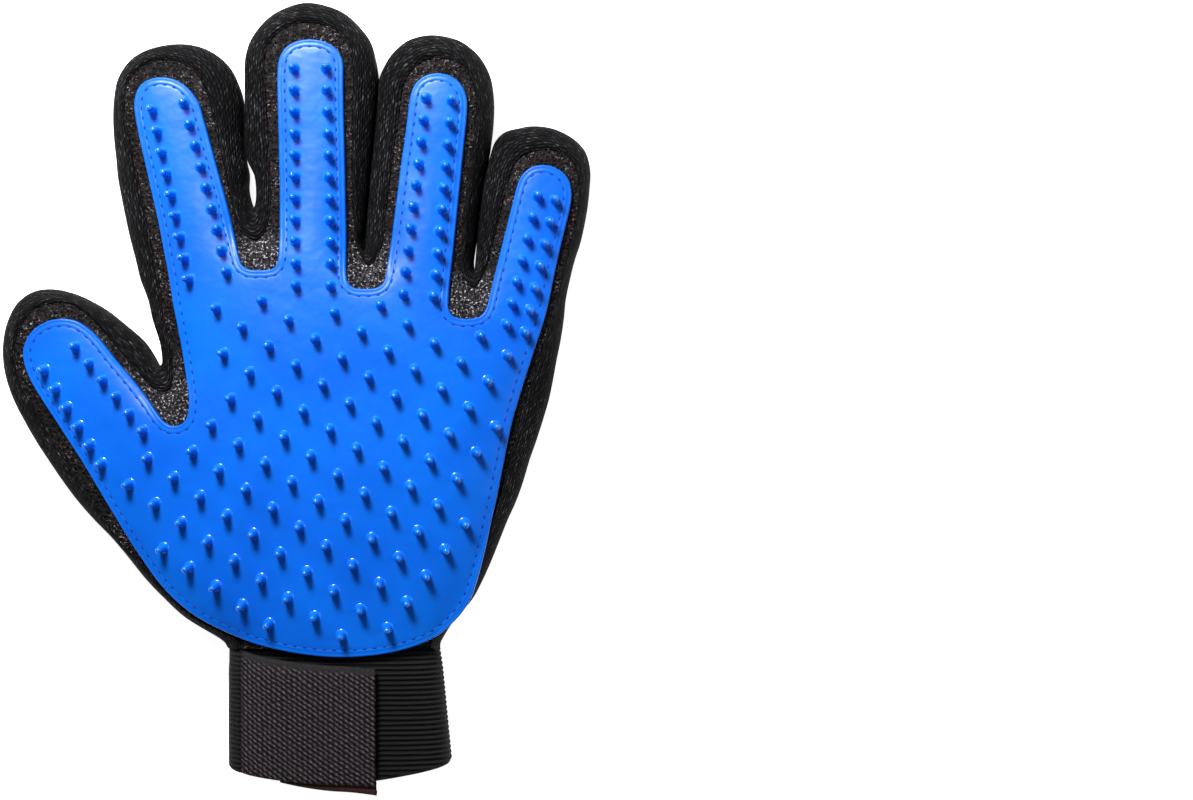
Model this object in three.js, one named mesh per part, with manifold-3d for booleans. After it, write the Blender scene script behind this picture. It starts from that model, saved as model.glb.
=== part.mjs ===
// Pet grooming glove, left hand, lying on its back with the nubbed palm up.
// Millimetres. +Z up (out of the palm), +Y towards the fingertips, thumb at -X.
// The origin is the centre of the footprint, on the rest plane.
// Every finger is a separate set of pieces that hinges at its root, and the
// closure strap hinges at the side of the cuff.
import * as THREE from 'three';
import { mergeVertices } from 'three/addons/utils/BufferGeometryUtils.js';
import Module from 'manifold-3d';

const wasm = await Module();
wasm.setup();

// ---------------------------------------------------------------- dimensions
const BACK_Z = [0, 1.5];          // back-of-hand knit panel
const WALL_BOTTOM_Z = 1.8;        // side wall strips, lower edge
const WALL_WIDE_Z = 10.5;         // side wall strips, widest level
const WALL_TOP_Z = 20.2;          // side wall strips, upper edge
const MESH_Z = [20.5, 22];        // mesh palm panel
const PAD_Z = [22.3, 24.3];       // rubber pad
const RIM_HEIGHT = 0.5;           // moulded bead round the pad
const RIM_WIDTH = 1.1;
const NUB_TOP_Z = 29;             // tips of the rubber nubs
const NUB_BASE_R = 1.4;
const NUB_TIP_R = 0.95;
const NUB_SIDES = 6;
const WALL_THICKNESS = 1.5;
const SIDE_FULLNESS = 0.95;       // how far the side walls reach to their widest line
const BACK_INSET = 0.33;          // back panel outline, from mesh seam to widest line
const ROOT_GAP = 0.15;            // half of the gap at each finger root

const CUFF_Y = [-77.2, -109.4];   // wrist cuff, from the hand to its free edge
const CUFF_DROOP = 5.4;           // the front of the cuff's free edge is longer
const CUFF_CENTRE_Z = 11.6;
const CUFF_HALF_HEIGHT = 10.8;
const CUFF_POWER = 3;
const CUFF_WALL = 1.8;
const CUFF_RIB = 0.3;
const LOOP_LAYER = [0.3, 1.1];    // offsets out of the cuff's surface
const HOOK_LAYER = [1.4, 2.2];
const TAPE_LAYER = [2.5, 3.7];

// Stations round the hand, clockwise from the wrist's thumb side:
// [mesh seam x, mesh seam y, widest line x, widest line y]
const STATIONS = [
  [-17.2, -75.4, -23.6, -75.2], [-17.4, -72.8, -23.6, -73.4], [-28.8, -66.9, -33.4, -67.4], [-35.8, -61.4, -39.9, -61.5],
  [-40.5, -55.6, -45.3, -55.5], [-44.8, -49.7, -50.0, -49.6], [-48.9, -43.9, -54.8, -43.6], [-52.7, -38.1, -60.2, -37.7],
  [-56.5, -32.6, -65.2, -31.7], [-60.0, -27.0, -69.7, -25.8], [-63.5, -21.2, -73.9, -19.8], [-67.3, -15.4, -77.7, -13.9],
  [-71.1, -9.5, -81.0, -7.9], [-74.9, -3.4, -84.0, -1.9], [-78.1, 2.7, -86.1, 4.0], [-80.1, 9.1, -87.2, 10.0],
  [-79.8, 15.2, -87.2, 15.9], [-77.8, 20.5, -85.8, 21.9], [-74.9, 24.0, -82.5, 26.9], [-71.1, 25.7, -77.4, 30.2],
  [-67.0, 26.3, -71.8, 31.1], [-62.6, 25.4, -66.1, 30.2], [-58.5, 22.5, -60.8, 27.8], [-55.0, 18.7, -56.3, 24.8],
  [-51.3, 14.4, -52.1, 21.6], [-47.8, 10.3, -48.3, 18.6], [-44.5, 6.5, -45.3, 15.6], [-41.9, 3.6, -43.2, 12.3],
  [-39.6, 1.3, -41.7, 9.4], [-36.7, 0.4, -40.5, 7.3], [-34.3, 2.1, -39.0, 8.8], [-34.1, 8.0, -39.3, 12.3],
  [-34.6, 14.4, -40.5, 16.5], [-36.1, 20.8, -42.6, 21.9], [-37.0, 27.2, -44.1, 27.8], [-38.1, 33.0, -46.2, 33.8],
  [-39.3, 38.9, -47.7, 39.7], [-40.5, 44.7, -49.2, 45.7], [-41.6, 50.5, -50.6, 51.6], [-42.8, 56.3, -51.8, 57.6],
  [-44.0, 62.2, -52.7, 63.5], [-45.1, 68.0, -53.3, 69.5], [-46.6, 73.8, -54.2, 75.4], [-47.8, 79.7, -54.5, 81.4],
  [-48.0, 84.9, -54.2, 87.3], [-47.2, 90.1, -53.0, 93.3], [-44.5, 93.9, -49.4, 98.9], [-41.1, 96.3, -44.4, 102.2],
  [-37.0, 97.1, -37.5, 103.7], [-32.6, 96.6, -31.0, 103.4], [-28.8, 94.5, -25.0, 101.3], [-25.9, 91.3, -20.0, 97.4],
  [-24.1, 87.2, -17.3, 92.7], [-23.0, 82.6, -15.8, 87.3], [-21.8, 77.9, -15.5, 81.4], [-20.6, 73.0, -15.5, 75.4],
  [-19.5, 67.4, -15.2, 69.5], [-18.3, 61.6, -14.3, 63.5], [-17.2, 56.0, -13.7, 58.5], [-15.1, 48.2, -13.4, 55.2],
  [-9.9, 44.4, -12.7, 53.4], [-6.7, 48.2, -12.0, 55.2], [-5.5, 55.5, -12.1, 58.5], [-5.5, 61.6, -12.8, 63.5],
  [-5.8, 67.4, -14.0, 69.5], [-6.1, 73.0, -14.9, 75.4], [-6.4, 78.5, -15.1, 81.4], [-6.7, 84.3, -15.1, 87.3],
  [-7.0, 90.1, -15.2, 93.3], [-7.2, 95.4, -15.1, 99.2], [-6.7, 100.1, -13.4, 105.2], [-4.3, 104.1, -9.0, 111.1],
  [-0.5, 106.8, -3.3, 114.7], [5.0, 107.9, 3.8, 116.2], [11.4, 106.8, 11.6, 114.4], [15.2, 104.1, 16.9, 111.1],
  [17.5, 100.1, 22.0, 105.2], [18.4, 95.4, 23.8, 99.2], [18.4, 90.1, 24.5, 93.3], [18.1, 84.3, 24.2, 87.3],
  [18.1, 77.9, 23.6, 80.2], [18.1, 70.9, 22.9, 72.4], [18.1, 63.6, 22.1, 65.0], [18.4, 56.3, 21.5, 57.6],
  [18.7, 49.9, 20.9, 51.0], [19.3, 43.2, 20.3, 45.4], [23.1, 37.1, 20.6, 43.0], [26.9, 42.6, 20.9, 45.4],
  [27.7, 49.9, 21.2, 51.0], [28.6, 56.3, 21.8, 57.6], [29.5, 63.6, 22.4, 65.0], [30.4, 70.9, 23.2, 72.4],
  [31.5, 77.9, 23.9, 80.2], [32.4, 84.3, 24.5, 87.3], [33.3, 89.6, 24.8, 93.3], [35.3, 93.6, 27.0, 99.2],
  [37.9, 96.0, 30.3, 103.1], [40.6, 97.1, 34.5, 105.5], [43.5, 97.7, 40.7, 106.5], [47.3, 96.8, 47.9, 105.2],
  [50.5, 94.8, 52.6, 102.2], [52.8, 91.6, 55.9, 98.3], [54.0, 87.8, 58.0, 93.3], [54.3, 83.2, 58.9, 87.3],
  [54.0, 78.2, 58.9, 81.4], [53.4, 72.7, 58.3, 75.1], [52.5, 67.4, 57.2, 69.5], [51.6, 61.6, 55.9, 63.5],
  [51.0, 55.8, 55.0, 57.6], [50.5, 49.9, 54.3, 51.6], [50.2, 43.5, 53.6, 45.7], [49.9, 35.9, 52.8, 39.4],
  [53.4, 30.7, 53.1, 36.7], [56.9, 35.4, 53.5, 39.4], [58.9, 42.1, 54.0, 45.7], [60.7, 49.3, 54.6, 51.6],
  [62.1, 55.5, 55.3, 57.6], [63.6, 61.0, 56.2, 63.5], [65.0, 65.7, 57.5, 69.5], [67.4, 68.6, 59.0, 74.5],
  [70.0, 70.0, 62.1, 77.5], [72.3, 70.6, 66.0, 78.7], [74.9, 70.9, 70.5, 79.3], [78.1, 70.3, 75.8, 78.7],
  [80.8, 69.2, 80.6, 76.9], [82.5, 67.1, 84.2, 74.2], [83.7, 64.5, 86.2, 70.7], [84.3, 61.0, 87.1, 65.9],
  [84.0, 56.3, 87.0, 60.5], [83.4, 51.1, 86.2, 54.0], [81.6, 44.1, 84.8, 45.7], [80.5, 38.6, 83.0, 39.7],
  [79.0, 33.0, 81.5, 33.8], [77.6, 27.5, 80.3, 27.8], [76.1, 21.9, 79.7, 21.9], [74.4, 16.1, 78.8, 15.9],
  [72.6, 10.3, 77.6, 10.0], [70.6, 4.5, 76.4, 4.0], [68.8, -1.4, 74.9, -1.9], [67.1, -7.2, 73.4, -7.9],
  [65.6, -13.0, 71.7, -13.9], [63.9, -18.9, 69.6, -19.8], [62.4, -24.7, 67.8, -25.8], [60.7, -30.5, 65.7, -31.7],
  [58.6, -36.6, 63.0, -37.7], [56.6, -42.5, 60.7, -43.6], [54.5, -48.3, 58.3, -49.6], [52.2, -53.8, 55.6, -55.5],
  [49.6, -59.1, 52.3, -61.5], [45.5, -64.9, 47.6, -68.0], [41.4, -71.0, 44.6, -73.4], [40.8, -73.6, 43.7, -75.2],
];

// Outline of the rubber pad, clockwise
const PAD_OUTLINE = [
  [15.1, -76.3], [0.7, -74.9], [-13.2, -71.4], [-25.7, -65.6], [-33.2, -59.8], [-38.4, -54.0], [-42.5, -48.3],
  [-46.2, -42.5], [-49.7, -36.7], [-53.2, -30.9], [-56.6, -25.1], [-60.1, -19.3], [-63.9, -13.5], [-67.6, -7.7],
  [-71.4, -1.9], [-74.9, 3.8], [-76.7, 9.0], [-76.9, 13.1], [-75.4, 16.6], [-72.8, 19.3], [-69.4, 21.1],
  [-65.6, 21.6], [-61.8, 21.1], [-58.4, 19.0], [-54.9, 15.7], [-50.3, 9.9], [-45.1, 3.8], [-40.4, -1.9],
  [-37.2, -6.3], [-35.1, -8.6], [-32.5, -9.5], [-29.9, -8.6], [-28.6, -6.3], [-28.3, -1.9], [-29.1, 3.8],
  [-30.2, 9.6], [-31.2, 15.4], [-32.3, 21.2], [-33.5, 27.0], [-34.3, 32.8], [-35.5, 38.6], [-36.7, 44.4],
  [-37.8, 50.1], [-39.1, 55.9], [-40.4, 61.7], [-41.7, 67.5], [-43.0, 73.3], [-44.2, 79.1], [-44.8, 83.7],
  [-44.0, 87.5], [-42.5, 89.8], [-39.8, 91.2], [-36.8, 91.7], [-33.8, 91.2], [-31.2, 90.1], [-28.8, 88.2],
  [-27.1, 86.0], [-25.8, 83.7], [-24.5, 79.1], [-22.9, 73.3], [-21.3, 67.5], [-19.7, 61.7], [-18.1, 55.9],
  [-16.7, 50.1], [-15.2, 44.4], [-13.9, 39.4], [-12.9, 37.0], [-10.9, 35.7], [-8.3, 35.5], [-5.7, 35.6],
  [-3.5, 36.3], [-2.5, 38.6], [-2.3, 44.4], [-2.4, 50.1], [-2.4, 55.9], [-2.5, 61.7], [-2.7, 67.5],
  [-2.8, 73.3], [-2.9, 79.1], [-3.1, 84.9], [-3.2, 90.7], [-2.9, 95.9], [-1.8, 99.1], [0.4, 101.2],
  [3.3, 102.4], [6.5, 102.7], [9.8, 102.2], [12.7, 100.9], [14.7, 98.9], [15.8, 95.9], [15.9, 90.7],
  [15.9, 84.9], [16.1, 79.1], [16.2, 73.3], [16.4, 67.5], [16.5, 61.7], [16.6, 55.9], [16.8, 50.1],
  [16.9, 44.4], [17.0, 38.6], [17.2, 34.2], [17.9, 31.6], [19.8, 30.3], [22.7, 30.1], [25.6, 30.3],
  [27.6, 31.5], [28.5, 33.9], [29.0, 38.6], [29.9, 44.4], [30.6, 50.1], [31.3, 55.9], [32.1, 61.7],
  [32.8, 67.5], [33.7, 73.3], [34.4, 79.1], [35.1, 84.9], [36.0, 88.3], [37.6, 90.7], [40.0, 92.2],
  [43.2, 92.9], [46.4, 92.3], [49.0, 90.8], [50.7, 88.5], [51.7, 85.7], [51.8, 82.8], [51.6, 79.1],
  [51.0, 73.3], [50.4, 67.5], [49.9, 61.7], [49.3, 55.9], [48.7, 50.1], [48.1, 44.4], [47.6, 38.6],
  [47.0, 32.8], [46.6, 27.6], [46.7, 24.4], [47.8, 22.4], [50.2, 21.6], [53.1, 21.6], [55.7, 22.2],
  [57.2, 24.1], [58.1, 27.0], [59.4, 32.8], [60.9, 38.6], [62.3, 44.4], [63.8, 50.1], [65.2, 55.9],
  [66.7, 61.3], [68.2, 63.9], [70.6, 65.6], [73.5, 66.3], [76.5, 65.8], [79.4, 64.2], [81.4, 61.6],
  [82.1, 58.2], [81.8, 54.8], [80.8, 50.1], [79.4, 44.4], [78.0, 38.6], [76.8, 32.8], [75.6, 27.0],
  [74.2, 21.2], [72.3, 15.4], [70.4, 9.6], [68.5, 3.8], [66.7, -1.9], [65.1, -7.7], [63.8, -13.5],
  [62.6, -19.3], [61.4, -25.1], [60.3, -30.9], [58.9, -36.7], [57.7, -42.5], [56.3, -48.3], [54.8, -54.0],
  [52.5, -60.4], [48.1, -66.2], [41.5, -71.4], [29.6, -75.2],
];

// Finger roots: hinge line centre, turn of the cut, and half width of the region
const ROOTS = [
  { name: 'thumb', x: -55.82, y: -1.43, turn: -35.0, half: [26, 17], flare: 25, tip: 20 },
  { name: 'index', x: -28.61, y: 55.95, turn: -12.3, half: [24, 15], tip: 47 },
  { name: 'middle', x: 6.71, y: 54.07, turn: 2.0, half: [20, 18], tip: 78 },
  { name: 'ring', x: 38.56, y: 44.52, turn: 5.9, half: [18, 17], tip: 105 },
  { name: 'little', x: 68.96, y: 35.4, turn: 13.4, half: [16, 26], tip: 130 },
];

// Nub columns on the fingers: start x, y, end x, y, count
const NUB_COLUMNS = [
  [-70.53, 6.78, -54.11, -20.30, 6],
  [-61.60, 13.41, -41.72, -10.80, 6],
  [-39.13, 81.98, -28.47, 33.00, 9],
  [-30.20, 83.99, -17.52, 35.02, 9],
  [1.78, 94.02, 2.68, 31.21, 11],
  [11.03, 94.19, 12.56, 31.10, 11],
  [40.02, 85.49, 33.56, 28.68, 10],
  [47.31, 84.86, 42.12, 27.96, 10],
  [72.37, 57.20, 63.24, 20.03, 7],
  [77.27, 56.05, 68.57, 17.79, 7],
];

// Square nub lattice on the palm: origin, two steps, and the filled cells
const LATTICE_ORIGIN = [4.65, -4.87];
const LATTICE_A = [7.713, -5.48];
const LATTICE_B = [-5.566, -7.583];
const LATTICE_ROWS = [
  [-5, 3, 4], [-4, 0, 4], [-3, -1, 5], [-2, -3, 5], [-1, -4, 5], [0, -3, 6],
  [1, -2, 6], [2, -2, 6], [3, -2, 6], [4, -3, 6], [5, -3, 5], [6, -1, 3],
];

// ------------------------------------------------------------------ materials
const mat = (color, roughness, metalness = 0) => new THREE.MeshStandardMaterial({ color, roughness, metalness });
const RUBBER = mat(0x0a5fdc, 0.42);
const MESH = mat(0x2a2522, 0.85);
const KNIT = mat(0x17171a, 0.95);
const CUFF = mat(0x131315, 0.95);
const TAPE = mat(0x2b2227, 0.9);
const HOOK = mat(0x3a2320, 0.85);
const LOOP = mat(0x1a191b, 0.98);

// -------------------------------------------------------------------- helpers
const group = new THREE.Group();
function addPiece(name, geometry, material) {
  const mesh = new THREE.Mesh(geometry, material);
  mesh.name = name;
  group.add(mesh);
}

function toSolid(geometry) {
  let g = geometry.clone();
  for (const key of Object.keys(g.attributes)) if (key !== 'position') g.deleteAttribute(key);
  g = mergeVertices(g, 1e-4);
  return new wasm.Manifold(new wasm.Mesh({
    numProp: 3,
    vertProperties: new Float32Array(g.attributes.position.array),
    triVerts: new Uint32Array(g.index.array),
  }));
}

function fromSolid(solid) {
  const m = solid.getMesh();
  const g = new THREE.BufferGeometry();
  g.setAttribute('position', new THREE.BufferAttribute(new Float32Array(m.vertProperties), 3));
  g.setIndex(new THREE.BufferAttribute(new Uint32Array(m.triVerts), 1));
  g.computeVertexNormals();
  return g;
}

function plate(outline, [z0, z1]) {
  const shape = new THREE.Shape(outline.map((p) => new THREE.Vector2(p[0], p[1])));
  const g = new THREE.ExtrudeGeometry(shape, { depth: z1 - z0, bevelEnabled: false, steps: 1 });
  g.translate(0, 0, z0);
  return g;
}

// Closed loft: rows of equal length rings, capped at both ends
function loft(rings) {
  const n = rings[0].length;
  const position = [];
  rings.forEach((ring) => ring.forEach((p) => position.push(p[0], p[1], p[2])));
  const index = [];
  for (let i = 0; i + 1 < rings.length; i++) {
    for (let j = 0; j < n; j++) {
      const a = i * n + j, b = i * n + ((j + 1) % n), c = a + n, d = b + n;
      index.push(a, b, d, a, d, c);
    }
  }
  const cap = (ring, base, flip) => {
    const o = ring[0];
    const u = new THREE.Vector3(ring[Math.floor(n / 2)][0] - o[0], ring[Math.floor(n / 2)][1] - o[1], 0);
    // the ring is seen in its own plane: across (horizontal) and up
    let across = new THREE.Vector3();
    for (const p of ring) {
      const v = new THREE.Vector3(p[0] - o[0], p[1] - o[1], 0);
      if (v.length() > across.length()) across = v;
    }
    if (across.length() < 1e-6) across = u;
    across.normalize();
    const flat = ring.map((p) => new THREE.Vector2((p[0] - o[0]) * across.x + (p[1] - o[1]) * across.y, p[2]));
    for (const [a, b, c] of THREE.ShapeUtils.triangulateShape(flat, [])) {
      const area = (flat[b].x - flat[a].x) * (flat[c].y - flat[a].y) - (flat[c].x - flat[a].x) * (flat[b].y - flat[a].y);
      const ccw = area > 0;
      if (ccw !== flip) index.push(base + a, base + b, base + c);
      else index.push(base + a, base + c, base + b);
    }
  };
  // pick the cap direction that makes every edge be used once each way
  const area = (ring) => {
    const o = ring[0];
    let across = new THREE.Vector3();
    for (const p of ring) {
      const v = new THREE.Vector3(p[0] - o[0], p[1] - o[1], 0);
      if (v.length() > across.length()) across = v;
    }
    across.normalize();
    const flat = ring.map((p) => new THREE.Vector2((p[0] - o[0]) * across.x + (p[1] - o[1]) * across.y, p[2]));
    return THREE.ShapeUtils.area(flat);
  };
  cap(rings[0], 0, area(rings[0]) > 0);
  const last = rings.length - 1;
  cap(rings[last], last * n, area(rings[last]) < 0);
  // turn the faces outwards if the signed volume is negative
  let volume = 0;
  const v = (k) => new THREE.Vector3(position[3 * k], position[3 * k + 1], position[3 * k + 2]);
  for (let t = 0; t < index.length; t += 3) {
    volume += v(index[t]).dot(v(index[t + 1]).cross(v(index[t + 2]))) / 6;
  }
  if (volume < 0) for (let t = 0; t < index.length; t += 3) [index[t + 1], index[t + 2]] = [index[t + 2], index[t + 1]];
  const g = new THREE.BufferGeometry();
  g.setAttribute('position', new THREE.Float32BufferAttribute(position, 3));
  g.setIndex(index);
  g.computeVertexNormals();
  return g;
}

// ------------------------------------------------------------- hand outlines
const COUNT = STATIONS.length;
const seamCurve = new THREE.CatmullRomCurve3(STATIONS.map((s) => new THREE.Vector3(s[0], s[1], 0)), false, 'catmullrom', 0.5);
const wideCurve = new THREE.CatmullRomCurve3(STATIONS.map((s) => new THREE.Vector3(s[2], s[3], 0)), false, 'catmullrom', 0.5);

const seamAt = (u) => { const p = seamCurve.getPoint(u / (COUNT - 1)); return [p.x, p.y]; };
const wideAt = (u) => {
  const p = wideCurve.getPoint(u / (COUNT - 1));
  const t = seamAt(u);
  return [t[0] + (p.x - t[0]) * SIDE_FULLNESS, t[1] + (p.y - t[1]) * SIDE_FULLNESS];
};
const levelAt = (w) => (u) => {
  const t = seamAt(u), s = wideAt(u);
  return [t[0] + (s[0] - t[0]) * w, t[1] + (s[1] - t[1]) * w];
};
const innerAt = (w) => (u) => {
  const t = seamAt(u), s = wideAt(u), p = levelAt(w)(u);
  const d = Math.hypot(t[0] - s[0], t[1] - s[1]) || 1;
  return [p[0] + WALL_THICKNESS * (t[0] - s[0]) / d, p[1] + WALL_THICKNESS * (t[1] - s[1]) / d];
};

// Side wall section, outside from the top seam to the bottom seam, then back inside
const SECTION = [[0, WALL_TOP_Z], [0.8, 16.2], [1, WALL_WIDE_Z], [0.84, 4.8], [0.35, WALL_BOTTOM_Z]];
const RAILS = [
  ...SECTION.map(([w, z]) => ({ at: levelAt(w), z })),
  ...SECTION.slice().reverse().map(([w, z]) => ({ at: innerAt(w), z })),
];

// Signed distance past a finger's root cut, towards its tip
for (const root of ROOTS) {
  const a = THREE.MathUtils.degToRad(root.turn);
  root.d = [Math.sin(a), Math.cos(a)];
  root.r = [Math.cos(a), -Math.sin(a)];
}
const past = (root, p) => (p[0] - root.x) * root.d[0] + (p[1] - root.y) * root.d[1];

// Where a rail crosses the cut at a given distance, on one side of the finger's tip
function crossing(root, rail, side, distance) {
  let inside = root.tip;
  let outside = root.tip;
  while (past(root, rail.at(outside)) > distance) outside += side * 0.25;
  inside = outside - side * 0.25;
  for (let k = 0; k < 40; k++) {
    const mid = (inside + outside) / 2;
    if (past(root, rail.at(mid)) > distance) inside = mid; else outside = mid;
  }
  return (inside + outside) / 2;
}

// A wall strip between two ends; each end is a station or a finger root cut
function wall(from, to, steps) {
  const rings = [];
  const ends = RAILS.map((rail) => [from, to].map((end) => (typeof end === 'number' ? end : crossing(end.root, rail, end.side, end.distance))));
  for (let i = 0; i <= steps.length - 1; i++) {
    rings.push(RAILS.map((rail, k) => {
      const [a, b] = ends[k];
      const p = rail.at(a + (b - a) * steps[i]);
      return [p[0], p[1], rail.z];
    }));
  }
  return loft(rings);
}
const even = (n) => Array.from({ length: n + 1 }, (_, i) => i / n);

const root = Object.fromEntries(ROOTS.map((r) => [r.name, r]));
const cut = (name, side, distance) => ({ root: root[name], side, distance });

for (const r of ROOTS) {
  const steps = r.name === 'thumb' || r.name === 'little' ? even(22) : even(26);
  addPiece(`${r.name}_side_gusset`, wall(cut(r.name, -1, ROOT_GAP), cut(r.name, 1, ROOT_GAP), steps), KNIT);
}
addPiece('thumb_side_gusset_palm', wall(0, cut('thumb', -1, -ROOT_GAP), even(10)), KNIT);
addPiece('web_gusset_thumb_index', wall(cut('thumb', 1, -ROOT_GAP), cut('index', -1, -ROOT_GAP), even(14)), KNIT);
addPiece('web_gusset_index_middle', wall(cut('index', 1, -ROOT_GAP), cut('middle', -1, -ROOT_GAP), even(8)), KNIT);
addPiece('web_gusset_middle_ring', wall(cut('middle', 1, -ROOT_GAP), cut('ring', -1, -ROOT_GAP), even(10)), KNIT);
addPiece('web_gusset_ring_little', wall(cut('ring', 1, -ROOT_GAP), cut('little', -1, -ROOT_GAP), even(10)), KNIT);
addPiece('little_side_gusset_palm', wall(cut('little', 1, -ROOT_GAP), COUNT - 1, even(14)), KNIT);

// ------------------------------------------------------- panels and the pad
// Region of one finger past its root cut, as a tall block turned with the finger
function region(r, distance) {
  const length = 90, [left, right] = r.half;
  const block = plate([
    [-left, distance], [right, distance], [right + (r.flare || 0), distance + length], [-left, distance + length],
  ], [-20, 40]);
  block.rotateZ(-THREE.MathUtils.degToRad(r.turn));
  block.translate(r.x, r.y, 0);
  return toSolid(block);
}

function splitPiece(whole, name, palmName, material) {
  let palm = whole;
  for (const r of ROOTS) {
    addPiece(`${r.name}_${name}`, fromSolid(whole.intersect(region(r, ROOT_GAP))), material);
    palm = palm.subtract(region(r, -ROOT_GAP));
  }
  addPiece(palmName, fromSolid(palm), material);
}

const outlineOf = (curveAt, step) => {
  const points = [];
  for (let u = 0; u <= COUNT - 1 + 1e-6; u += step) points.push(curveAt(Math.min(u, COUNT - 1)));
  return points;
};
splitPiece(toSolid(plate(outlineOf(levelAt(BACK_INSET), 1), BACK_Z)), 'back_panel', 'palm_back_panel', KNIT);
splitPiece(toSolid(plate(outlineOf(levelAt(0), 1), MESH_Z)), 'mesh_panel', 'palm_mesh_panel', MESH);

const padCurve = new THREE.CatmullRomCurve3(PAD_OUTLINE.map((p) => new THREE.Vector3(p[0], p[1], 0)), true, 'catmullrom', 0.5);
const padPoints = PAD_OUTLINE.map((p) => [p[0], p[1]]);
const padInset = PAD_OUTLINE.map((p, i) => {
  const t = padCurve.getTangent(i / PAD_OUTLINE.length);
  return [p[0] + t.y * RIM_WIDTH, p[1] - t.x * RIM_WIDTH];
});
let padWhole = toSolid(plate(padPoints, [PAD_Z[0], PAD_Z[1] + RIM_HEIGHT]));
padWhole = padWhole.subtract(toSolid(plate(padInset, [PAD_Z[1], PAD_Z[1] + RIM_HEIGHT + 1])));

function nub(x, y) {
  const h = NUB_TOP_Z - PAD_Z[1] + 0.5;
  const profile = [[0, -0.5], [NUB_BASE_R, -0.5], [NUB_TIP_R, h - 0.5], [0, h - 0.5]];
  const g = new THREE.LatheGeometry(profile.map((p) => new THREE.Vector2(p[0], p[1])), NUB_SIDES);
  g.rotateX(Math.PI / 2);
  g.translate(x, y, PAD_Z[1]);
  return toSolid(g);
}
const nubs = [];
for (const [x0, y0, x1, y1, n] of NUB_COLUMNS) {
  for (let i = 0; i < n; i++) nubs.push([x0 + (x1 - x0) * i / (n - 1), y0 + (y1 - y0) * i / (n - 1)]);
}
for (const [j, from, to] of LATTICE_ROWS) {
  for (let i = from; i <= to; i++) {
    nubs.push([LATTICE_ORIGIN[0] + LATTICE_A[0] * i + LATTICE_B[0] * j, LATTICE_ORIGIN[1] + LATTICE_A[1] * i + LATTICE_B[1] * j]);
  }
}
for (const [x, y] of nubs) padWhole = padWhole.add(nub(x, y));
splitPiece(padWhole, 'rubber_pad', 'palm_rubber_pad', RUBBER);

// -------------------------------------------------------------------- cuff
const mix = (a, b, t) => a + (b - a) * t;
const cuffCentre = (t) => mix(13.4, 14.6, t);
const cuffHalf = (t) => mix(30.6, 31.7, t);
// a point of the cuff's outline: angle from +X, offset out of the surface
function cuffPoint(angle, t, offset) {
  const c = Math.cos(angle), s = Math.sin(angle);
  const a = cuffHalf(t) + offset, b = CUFF_HALF_HEIGHT + offset;
  return [
    cuffCentre(t) + a * Math.sign(c) * Math.abs(c) ** (2 / CUFF_POWER),
    CUFF_CENTRE_Z + b * Math.sign(s) * Math.abs(s) ** (2 / CUFF_POWER),
  ];
}
const cuffEdge = (angle) => CUFF_Y[1] - CUFF_DROOP * Math.max(0, Math.sin(angle)) ** 0.6;

{
  const around = 28;
  const rows = 12;
  const position = [];
  const index = [];
  const ring = (t, offset) => {
    for (let j = 0; j < around; j++) {
      const angle = (j / around) * 2 * Math.PI;
      const [x, z] = cuffPoint(angle, t, offset);
      position.push(x, mix(CUFF_Y[0], cuffEdge(angle), t), z);
    }
  };
  for (let i = 0; i <= rows; i++) ring(i / rows, i % 2 ? 0 : -CUFF_RIB);
  ring(1, -CUFF_WALL);
  ring(0.5, -CUFF_WALL);
  ring(0, -CUFF_WALL);
  const total = rows + 4;
  for (let i = 0; i < total; i++) {
    const next = (i + 1) % total;
    for (let j = 0; j < around; j++) {
      const k = (j + 1) % around;
      const a = i * around + j, b = i * around + k, c = next * around + j, d = next * around + k;
      index.push(a, b, d, a, d, c);
    }
  }
  const g = new THREE.BufferGeometry();
  g.setAttribute('position', new THREE.Float32BufferAttribute(position, 3));
  g.setIndex(index);
  g.computeVertexNormals();
  addPiece('cuff_band', g, CUFF);
}

// A band that follows the cuff's front between two angles, at two offsets
function band(angles, layer, topY, bottomY) {
  const rings = angles.map((angle, i) => {
    const t = i / (angles.length - 1);
    const y0 = mix(topY[0], topY[1], t), y1 = mix(bottomY[0], bottomY[1], t);
    const s0 = (CUFF_Y[0] - y0) / (CUFF_Y[0] - CUFF_Y[1]), s1 = (CUFF_Y[0] - y1) / (CUFF_Y[0] - CUFF_Y[1]);
    const inner0 = cuffPoint(angle, s0, layer[0]), outer0 = cuffPoint(angle, s0, layer[1]);
    const inner1 = cuffPoint(angle, s1, layer[0]), outer1 = cuffPoint(angle, s1, layer[1]);
    return [[inner0[0], y0, inner0[1]], [outer0[0], y0, outer0[1]], [outer1[0], y1, outer1[1]], [inner1[0], y1, inner1[1]]];
  });
  const n = 4;
  const position = rings.flat(2);
  const index = [];
  for (let i = 0; i + 1 < rings.length; i++) {
    for (let j = 0; j < n; j++) {
      const a = i * n + j, b = i * n + ((j + 1) % n), c = a + n, d = b + n;
      index.push(a, d, b, a, c, d);
    }
  }
  const e = (rings.length - 1) * n;
  index.push(0, 1, 2, 0, 2, 3, e, e + 2, e + 1, e, e + 3, e + 2);
  const g = new THREE.BufferGeometry();
  g.setAttribute('position', new THREE.Float32BufferAttribute(position, 3));
  g.setIndex(index);
  g.computeVertexNormals();
  return g;
}
const degrees = (list) => list.map((v) => THREE.MathUtils.degToRad(v));
const span = (a, b, n) => degrees(Array.from({ length: n + 1 }, (_, i) => a + (b - a) * i / n));
addPiece('cuff_loop_panel', band(span(70, 128, 10), LOOP_LAYER, [-79.8, -78.6], [-110.6, -108.4]), LOOP);
addPiece('strap_hook_patch', band(span(76.5, 98, 5), HOOK_LAYER, [-80.6, -80.4], [-115.9, -113.0]), HOOK);
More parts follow.
